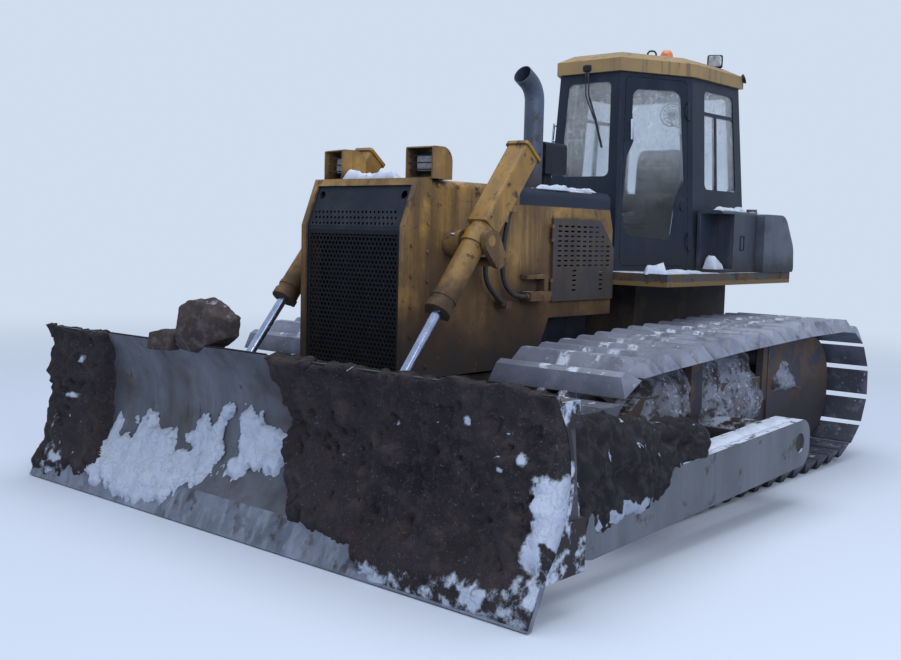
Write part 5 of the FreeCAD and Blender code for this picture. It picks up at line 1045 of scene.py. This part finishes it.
def mud_sleeve(side, rows=130, sides=84):
    """Ovals along the arm: a squarish section between the mud's top and bottom line, displaced by noise."""
    table = np.array(MUD_LINE)
    line = np.linspace(table[0, 0], table[-1, 0], rows)
    top, bottom, outer_y = (np.interp(line, table[:, 0], column)[:, None] for column in table[:, 1:].T)
    turn = np.linspace(0, 2 * np.pi, sides, endpoint=False)
    fullness = (np.abs(np.cos(turn)) ** 3 + np.abs(np.sin(turn)) ** 3) ** (-1 / 3)
    x = np.repeat(line[:, None], sides, axis=1)
    y = side * (outer_y + MUD_INNER) / 2 + (outer_y - MUD_INNER) / 2 * fullness * np.cos(turn)
    z = (top + bottom) / 2 + (top - bottom) / 2 * fullness * np.sin(turn)
    push = 0.07 * lumps(x, y, z, 0.17, 4) + 0.05 * lumps(x, y, z, 0.06, 3) + 0.012 * lumps(x, y, z, 0.022, 2)
    row = np.arange(rows)[:, None]
    push *= smooth(row, 0, 8) * smooth(rows - 1 - row, 0, 5)
    y = side * np.clip(side * (y + push * np.cos(turn)), MUD_CLEAR, MUD_OUTER)
    rings = np.stack((x, y, z + push * np.sin(turn)), axis=-1)
    first, last = (np.repeat(end.mean(axis=1, keepdims=True), sides, axis=1) for end in (rings[:1], rings[-1:]))
    return wrapped(np.concatenate((first, rings, last)))


def positions(mesh):
    """The points of a mesh as an array."""
    at = np.zeros(3 * len(mesh.vertices))
    mesh.vertices.foreach_get("co", at)
    return at.reshape(-1, 3)


arm_mud = piece("arm_mud", *joined([mud_sleeve(1), mud_sleeve(-1)]), "arm mud", "blade")
at = positions(arm_mud.data)
low_snow = np.exp(-((at[:, 0] - 1.68) / 0.22) ** 2 - ((at[:, 2] - 0.32) / 0.09) ** 2)
frosty = smooth(low_snow + 0.8 * lumps_at(at, 0.08, 4), 0.40, 0.62) * smooth(low_snow, 0.05, 0.2)
whitened(arm_mud, np.maximum(frosty, 0.8 * smooth(lumps_at(at, 0.05, 3), 0.42, 0.52)))

# %% [markdown]
# ## Snow packed inside the tracks
#
# Snow and mud are pressed into the bays between the track frame's posts, under the upper run. Each bay gets one
# heap: a skin that leans inwards as it rises, with lumps of two sizes, closed behind. The heaps are lower at
# their free ends.

# %% Heaps between the posts
# columns: first x, last x, foot, top, height at the first end, height at the last end (shares of the whole)
BAYS = [(-0.12, 0.62, 0.47, 0.96, 1.0, 0.2), (-1.18, -0.26, 0.36, 0.97, 1.0, 1.0),
        (-1.80, -1.32, 0.56, 0.93, 0.1, 1.0)]
BAY_Y, BAY_OUTER, BAY_BACK, BAY_STEP = 1.37, 1.43, 1.02, 0.011


def heap(first, last, foot, top, first_share, last_share, side, rows=46):
    """A closed skin over (x, share of the height): the front leans in by the square of the share."""
    rise, run = grid(np.linspace(0, 1, rows), np.linspace(0, 1, int((last - first) / BAY_STEP)))
    ends = first_share + (1 - first_share) * smooth(run, 0, 0.6)
    ends *= last_share + (1 - last_share) * smooth(1 - run, 0, 0.6)
    x = first + (last - first) * run
    high = (top - foot) * ends * (1.0 + 0.30 * lumps(x, side * 1.0, 0.0, 0.22, 3))
    z = foot + np.clip(high, 0.05, top - foot) * rise
    rough = 0.030 * lumps(x, side * 1.0, z, 0.06, 3) + 0.014 * lumps(x, side * 1.0, z, 0.025, 2)
    y = BAY_Y - 0.17 * rise ** 2 + 0.09 * lumps(x, side * 2.0, z, 0.2, 4) + rough
    y -= 0.10 * smooth(0.2 - rise, 0.0, 0.2) + 0.06 * smooth(np.abs(run - 0.5), 0.42, 0.5)
    skin = np.stack((x, side * np.minimum(y, BAY_OUTER), z), axis=-1)
    return shell(skin, np.stack((x, np.full(x.shape, side * BAY_BACK), z), axis=-1))


piece("track_heaps", *joined([heap(*bay, side) for bay in BAYS for side in (1, -1)]), "dirty snow", "machine")

# %% [markdown]
# ## A finer mesh for the grille
#
# The solid grille carries its mesh with a wide pitch. Seen from near, the real mesh is much finer: hexagons as
# small as a thumb. One cell is a flat ring between two hexagons with a front and a back. Copied to the points
# of a staggered grid the rings touch one another and make the mesh.

# %% Grille mesh
CELL, STRAND = 0.031, 0.0085
GRILLE_HALF, GRILLE_LOW, GRILLE_HIGH, GRILLE_RIM = 0.399, 0.642, 1.686, 0.027
CELL_ROWS, CELL_COLUMNS, FIRST_ROW = 40, 27, 0.022


def flat_ring(outline, opening, back_x, front_x):
    """A closed flat ring across x between two outlines (n, 2) of (y, z) points."""
    count = len(outline)
    lines = ((front_x, outline), (front_x, opening), (back_x, opening), (back_x, outline))
    points = np.concatenate([np.column_stack((np.full(count, x), line)) for x, line in lines])
    index = np.arange(count)
    after = (index + 1) % count
    faces = [np.stack((index + count * k, after + count * k, after + count * ((k + 1) % 4),
                       index + count * ((k + 1) % 4)), axis=-1) for k in range(4)]
    return points, np.concatenate(faces)


def box_ring(middle, half, rim, back_x, front_x):
    """The same between two rectangles; middle and half size are (y, z)."""
    square = np.array(((-1, -1), (1, -1), (1, 1), (-1, 1)))
    outline, opening = (middle + square * (np.asarray(half) - less) for less in (0, rim))
    return flat_ring(outline, opening, back_x, front_x)


turns_of = np.radians(np.arange(6) * 60 + 30)
hexagon = np.stack((np.cos(turns_of), np.sin(turns_of)), axis=-1) / 2 / math.cos(math.pi / 6)
cell = flat_ring(0.985 * CELL * hexagon, (CELL - STRAND) * hexagon, 1.6765, 1.6815)
row, column = grid(np.arange(CELL_ROWS), np.arange(CELL_COLUMNS))
cell_y = (column - CELL_COLUMNS // 2 + 0.5 * (row % 2)) * CELL
cell_z = GRILLE_LOW + FIRST_ROW + row * CELL * math.sqrt(3) / 2
inside = (np.abs(cell_y) < GRILLE_HALF - CELL / 2) & (cell_z < GRILLE_HIGH - 0.6 * CELL)
places = np.stack((np.zeros(inside.sum()), cell_y[inside], cell_z[inside]), axis=-1)
grille_rim = box_ring((0, (GRILLE_LOW + GRILLE_HIGH) / 2), (GRILLE_HALF, (GRILLE_HIGH - GRILLE_LOW) / 2),
                      GRILLE_RIM, 1.675, 1.683)
piece("grille_mesh", *joined([strewn(cell, places), grille_rim]), "grille black", "machine", smooth=False,
      instead_of="grille")
print("cells in the grille:", len(places))

# %% [markdown]
# ## Rounded blocks and small fittings
#
# Lamps, locks and cushions are boxes with soft corners. A formula gives them at once: in each direction the
# surface lies where the sixth powers of the three shares add up to one. A low power makes an egg, a high one a
# box. The same points serve as the start of the seat's pads.

# %% Rounded block
def about_z(angle):
    """The matrix that turns by an angle about the upright."""
    return np.array(((math.cos(angle), -math.sin(angle), 0), (math.sin(angle), math.cos(angle), 0), (0, 0, 1)))


def rounded_block(middle, half, power=6, yaw=0.0, rows=28, sides=48):
    """A superellipsoid: |x/a|^p + |y/b|^p + |z/c|^p = 1 about its middle, turned by yaw about the upright."""
    way = directions(rows, sides)
    size = (np.abs(way) ** power).sum(axis=-1, keepdims=True) ** (-1 / power)
    return wrapped((way * size * np.asarray(half)) @ about_z(yaw).T + np.asarray(middle))


print("a block has", len(rounded_block((0, 0, 0), (1, 1, 1))[0]), "points")

# %% Roof fittings
BEACON_FOOT = (-1.45, 0.26, 3.066)
LAMP, LAMP_YAW, LENS_AHEAD = np.array((-1.955, 0.415, 3.120)), 0.5, 0.027
# (radius, height) pairs
DOME = [(0.0, -0.001), (0.058, -0.001), (0.058, 0.017), (0.050, 0.020), (0.050, 0.044), (0.046, 0.062),
        (0.036, 0.078), (0.022, 0.088), (0.010, 0.092), (0.0, 0.093)]
HORN = [(0.0, 0.0), (0.012, 0.0), (0.014, 0.03), (0.022, 0.06), (0.040, 0.085), (0.040, 0.089), (0.030, 0.087),
        (0.0, 0.07)]
LOOP = [(-1.172, 0.252, 3.058), (-1.174, 0.255, 3.092), (-1.180, 0.264, 3.106), (-1.190, 0.281, 3.110),
        (-1.200, 0.298, 3.106), (-1.206, 0.308, 3.092), (-1.208, 0.312, 3.058)]
piece("beacon_dome", *turned(DOME, BEACON_FOOT, (0, 0, 1), 40), "amber lens", "machine", instead_of="beacon")
lamp_foot = swept([LAMP - (0, 0, 0.09), LAMP - (0, 0, 0.045)], 0.012)
roof_loop = swept(LOOP, 0.007)
roof_iron = [rounded_block(LAMP, (0.030, 0.062, 0.052), 8, LAMP_YAW), lamp_foot, roof_loop, mirrored(roof_loop),
             turned(HORN, (-2.105, 0.515, 2.965), (-0.55, 0.75, 0.35), 28)]
piece("roof_iron", *joined(roof_iron), "black iron", "machine", instead_of="roof_lamp")
lens_middle = LAMP + LENS_AHEAD * about_z(LAMP_YAW)[:, 0]
piece("roof_lens", *rounded_block(lens_middle, (0.007, 0.052, 0.043), 6, LAMP_YAW), "lamp glass", "machine")

# %% Wipers and the fan in the cab
wipers = [swept([(-0.748, 0.000, 2.930), (-0.735, 0.022, 2.740), (-0.732, 0.100, 2.550)], 0.0055),
          swept([(-0.748, -0.022, 2.930), (-0.735, -0.004, 2.740), (-0.732, 0.078, 2.560)], 0.0045),
          swept([(-0.736, 0.030, 2.720), (-0.727, 0.095, 2.550), (-0.717, 0.166, 2.345)], 0.0085),
          rounded_block((-0.757, -0.010, 2.945), (0.022, 0.036, 0.026), 4)]
piece("wipers", *joined(wipers), "black iron", "machine")

FAN, FAN_WAY = np.array((-1.50, 0.30, 2.655)), np.array((0.84, 0.53, -0.05))
# columns: share of the spoke's length, distance ahead of the fan's middle
SPOKE, SPOKE_BEND = 0.088, [(-0.088, 0.0), (-0.05, 0.02), (0.0, 0.024), (0.05, 0.02), (0.088, 0.0)]
MOTOR = [(0.0, -0.09), (0.026, -0.085), (0.034, -0.06), (0.034, -0.03), (0.02, -0.01), (0.0, -0.008)]
cage_rings = [(0.088, 0.0), (0.088, -0.05), (0.066, 0.016), (0.044, 0.022), (0.022, 0.024)]
fan = [ring(FAN + FAN_WAY * depth, radius, 0.0035, FAN_WAY) for radius, depth in cage_rings]
across = unit(np.cross(FAN_WAY, (0, 0, 1)))
rise = unit(np.cross(across, FAN_WAY))
for angle in np.linspace(0, np.pi, 6, endpoint=False):
    spoke = math.cos(angle) * across + math.sin(angle) * rise
    fan.append(swept([FAN + out * spoke + depth * FAN_WAY for out, depth in SPOKE_BEND], 0.0028, 6))
fan.append(turned(MOTOR, FAN, FAN_WAY, 24))
neck = FAN - 0.06 * FAN_WAY
fan.append(swept([neck, neck - (0, 0, 0.07), neck + (-0.06, 0.10, -0.12)], 0.008))
piece("cab_fan", *joined(fan), "black iron", "machine")

# %% Door locks and the latch of the side boxes
LOCK = [(0.0, -0.003), (0.036, -0.003), (0.036, 0.001), (0.031, 0.002), (0.024, 0.0005), (0.016, 0.0005),
        (0.014, 0.002), (0.0, 0.002)]
for side_name, side in (("left", 1), ("right", -1)):
    lock = turned(LOCK, (-1.111, side * 0.636, 1.950), (0, side, 0), 28)
    piece("door_lock_" + side_name, *lock, "black iron", "cab_door_" + side_name)
latch_points, latch_faces = box_ring((-1.70, 1.6575), (0.035, 0.0575), 0.01, 0.847, 0.854)
latch = (latch_points[:, [1, 0, 2]], latch_faces)
piece("box_latches", *joined([latch, mirrored(latch)]), "black iron", "machine", smooth=False)

# %% Lenses and wires of the nose lamps
LENS, LENS_HALF_Y, LENS_HALF_Z = (1.431, 0.3525, 2.085), 0.072, 0.046
share_y, share_z = grid(np.linspace(-1, 1, 61), np.linspace(-1, 1, 31))
bulge = 0.010 * (1 - 0.5 * (share_y ** 4 + share_z ** 4)) + 0.0014 * np.cos(share_y * 11 * np.pi)
lens_back = np.stack((np.full(share_y.shape, -0.001), LENS_HALF_Y * share_y, LENS_HALF_Z * share_z), axis=-1)
lens_back += LENS
lens_front = lens_back.copy()
lens_front[..., 0] = LENS[0] + bulge
lamp_lens = shell(lens_front, lens_back)
WIRE_BEND = [(1.470, -0.096), (1.486, -0.03), (1.486, 0.03), (1.470, 0.096)]
wires = joined([swept([(x, LENS[1] + y, z) for x, y in WIRE_BEND], 0.0038) for z in (2.045, 2.085, 2.125)])
KNOCKED, KNOCKED_AT = math.radians(-12), np.array((1.4125, -LENS[1], 0))


def right_lamp(part):
    """The left lamp's part on the right lamp: mirrored, then turned with the knocked casing."""
    points, faces = mirrored(part)
    return (points - KNOCKED_AT) @ about_z(KNOCKED).T + KNOCKED_AT, faces


piece("nose_lenses", *joined([lamp_lens, right_lamp(lamp_lens)]), "lamp glass", "machine")
piece("nose_lamp_wires", *joined([wires, right_lamp(wires)]), "black iron", "machine")

# %% [markdown]
# ## Snow on ledges
#
# Snow lies in low drifts along edges: each is a strip whose section is a low arch and whose height along the
# strip is noise, cut off where it would fall below the ledge. The strips are listed by their two ends.

# %% Drifts
DRIFT_STEP, RIM_SUNK, BASE_SUNK = 0.01, 0.004, 0.008


def drift(start, end, wide, high):
    """A low arch of snow from start to end: height times noise, faded at both ends, its rim sunk a little."""
    start, end = np.asarray(start, float), np.asarray(end, float)
    length = np.linalg.norm(end - start)
    run, over = grid(np.linspace(0, 1, max(int(length / DRIFT_STEP), 12)), np.linspace(-1, 1, 17))
    spine = start + run[..., None] * (end - start)
    wander = lumps_at(spine, 0.12, 3)
    spread = wide / 2 * (0.75 + 0.5 * wander)
    under = spine + (over * spread)[..., None] * np.cross((0, 0, 1), (end - start) / length)
    arch = np.maximum(1 - over ** 2, 0) ** 0.6 * smooth(run, 0, 0.12) * smooth(1 - run, 0, 0.12)
    top = under.copy()
    rise = high * arch * (0.75 + 0.7 * wander + 0.35 * lumps_at(under, 0.045, 3))
    top[..., 2] += np.maximum(rise, 0) - RIM_SUNK
    under[..., 2] -= BASE_SUNK
    return shell(top, under)


# columns: start, end, width, height
DRIFTS = [((0.04, 0.40, 1.991), (0.40, 0.40, 1.991), 0.07, 0.045),
          ((-0.40, -0.36, 1.991), (-0.40, 0.36, 1.991), 0.06, 0.05),
          ((1.535, -0.24, 1.991), (1.535, 0.25, 1.991), 0.085, 0.055),
          ((-0.50, 0.70, 1.43), (-0.60, 0.82, 1.43), 0.15, 0.10),
          ((-0.58, 0.70, 1.43), (-1.34, 0.70, 1.43), 0.11, 0.026),
          ((-1.375, 0.74, 1.45), (-1.53, 0.76, 1.45), 0.13, 0.11),
          ((-1.375, 0.78, 1.905), (-1.85, 0.78, 1.905), 0.09, 0.04),
          ((-2.03, 0.30, 1.89), (-2.03, 0.86, 1.89), 0.09, 0.035),
          ((-2.03, -0.86, 1.89), (-2.03, -0.2, 1.89), 0.09, 0.035),
          ((-1.375, -0.78, 1.905), (-1.85, -0.78, 1.905), 0.09, 0.04),
          ((-0.60, -0.72, 1.43), (-1.30, -0.72, 1.43), 0.11, 0.026)]
piece("snow_drifts", *joined([drift(*row) for row in DRIFTS]), "packed snow", "machine")
arm_snow = drift((-0.36, 1.857, 0.560), (0.82, 1.857, 0.512), 0.15, 0.022)
piece("arm_snow", *joined([arm_snow, mirrored(arm_snow)]), "packed snow", "blade")

# %% [markdown]
# ## Bolts
#
# One bolt head, a turned profile with six sides, is copied along lines and circles. The table gives the first
# and the last place of each line and how many there are, and the last bolts stand in a circle round the drive.

# %% Bolt heads
HEAD = [(0.0, -0.002), (0.013, -0.002), (0.013, 0.007), (0.011, 0.010), (0.0, 0.010)]
BOLT_ROWS = [((1.500, 0.441, 0.72), (1.500, 0.441, 1.90), 8), ((1.640, 0.441, 0.72), (1.640, 0.441, 1.60), 6),
             ((0.70, 0.440, 1.955), (1.42, 0.440, 1.955), 5)]
DRIVE, DRIVE_R, DRIVE_BOLTS = (-1.98, 1.297, 0.565), 0.24, 14
bolt_places = [np.linspace(start, end, count) for start, end, count in BOLT_ROWS]
drive_turn = np.linspace(0, 2 * np.pi, DRIVE_BOLTS, endpoint=False)
drive_ring = np.stack((np.cos(drive_turn), np.zeros(DRIVE_BOLTS), np.sin(drive_turn)), axis=-1)
bolt_places.append(DRIVE + DRIVE_R * drive_ring)
bolt_parts = []
for places in bolt_places:
    bolt_row = strewn(turned(HEAD, (0, 0, 0), (0, 1, 0), 6), places)
    bolt_parts += [bolt_row, mirrored(bolt_row)]
piece("bolts", *joined(bolt_parts), "yellow paint", "machine", smooth=False)

# %% [markdown]
# ## The seat's pads
#
# A pad is a bag of cloth filled with foam. It starts as a rounded block a little smaller than the solid, and a
# cloth simulation blows it up from inside while its seams are held. How far a point may move is capped, so the
# pad stays within its solid. The table gives each pad's middle, half size, lean and the places of its seams.

# %% Seat pads
# columns: name, middle, half size, lean (x for each metre of height), seam axis, seam places
PADS = [("seat_pad", (-1.552, 0.0, 1.821), (0.226, 0.228, 0.040), 0.0, 1, (-0.15, -0.05, 0.05, 0.15)),
        ("back_pad", (-1.848, 0.0, 2.105), (0.034, 0.213, 0.322), -0.07, 2, (-0.16, -0.05, 0.06, 0.17))]
VOXEL, MAY_MOVE, LAST_FRAME, PRESSURE = 0.006, 0.014, 20, 4.0
SEAM_DEEP, SEAM_WIDE, SEAM_HELD = 0.007, 0.006, 0.0042
scene = bpy.context.scene


def evaluated(made):
    """The mesh as its modifiers leave it in the present frame."""
    return bpy.data.meshes.new_from_object(made.evaluated_get(bpy.context.evaluated_depsgraph_get()))


def blown_up(pad, at):
    """Where the cloth's points are after its inside pressure has pushed for the given frames."""
    cloth = pad.modifiers.new("blown up", "CLOTH")
    cloth.settings.use_pressure = True
    cloth.settings.uniform_pressure_force = PRESSURE
    cloth.settings.vertex_group_mass = "seams"
    cloth.settings.effector_weights.gravity = 0.0
    cloth.settings.quality = 4
    cloth.point_cache.frame_start, cloth.point_cache.frame_end = 1, LAST_FRAME
    for frame_number in range(1, LAST_FRAME + 1):
        scene.frame_set(frame_number)
        bpy.context.view_layer.update()
    moved = positions(evaluated(pad)) - at
    pad.modifiers.clear()
    scene.frame_set(1)
    far = np.linalg.norm(moved, axis=1, keepdims=True)
    print(pad.name, "moved by up to", round(float(far.max()) * 1000, 1), "mm")
    return at + moved * np.minimum(1, MAY_MOVE / np.maximum(far, 1e-9))


for name, middle, half, lean, seam_axis, seams in PADS:
    points, faces = rounded_block((0, 0, 0), half, 7, 0.0, 64, 112)
    points[:, 0] += lean * points[:, 2]
    pad = piece(name, points + middle, faces, "seat cloth", "machine")
    remesh = pad.modifiers.new("even", "REMESH")
    remesh.mode, remesh.voxel_size = "VOXEL", VOXEL
    even = evaluated(pad)
    pad.modifiers.clear()
    # along its seams the pad is drawn in, and those points are held
    at = positions(even)
    off_seam = np.abs((at - middle)[:, seam_axis, None] - np.array(seams)).min(axis=1)
    flat_axis = 2 if seam_axis == 1 else 0
    from_middle = at[:, flat_axis] - middle[flat_axis] - (lean * (at[:, 2] - middle[2]) if flat_axis == 0 else 0)
    at[:, flat_axis] -= np.sign(from_middle) * SEAM_DEEP * np.exp(-(off_seam / SEAM_WIDE) ** 2)
    even.vertices.foreach_set("co", at.ravel())
    pad.data = even
    held = pad.vertex_groups.new(name="seams")
    held.add(np.flatnonzero(off_seam < SEAM_HELD).tolist(), 1.0, "REPLACE")
    even.vertices.foreach_set("co", blown_up(pad, at).ravel())
    even.polygons.foreach_set("use_smooth", np.ones(len(even.polygons), bool))
    finer = pad.modifiers.new("finer", "SUBSURF")
    finer.levels = finer.render_levels = 1
    if "seat_cushions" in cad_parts:
        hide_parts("seat_cushions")
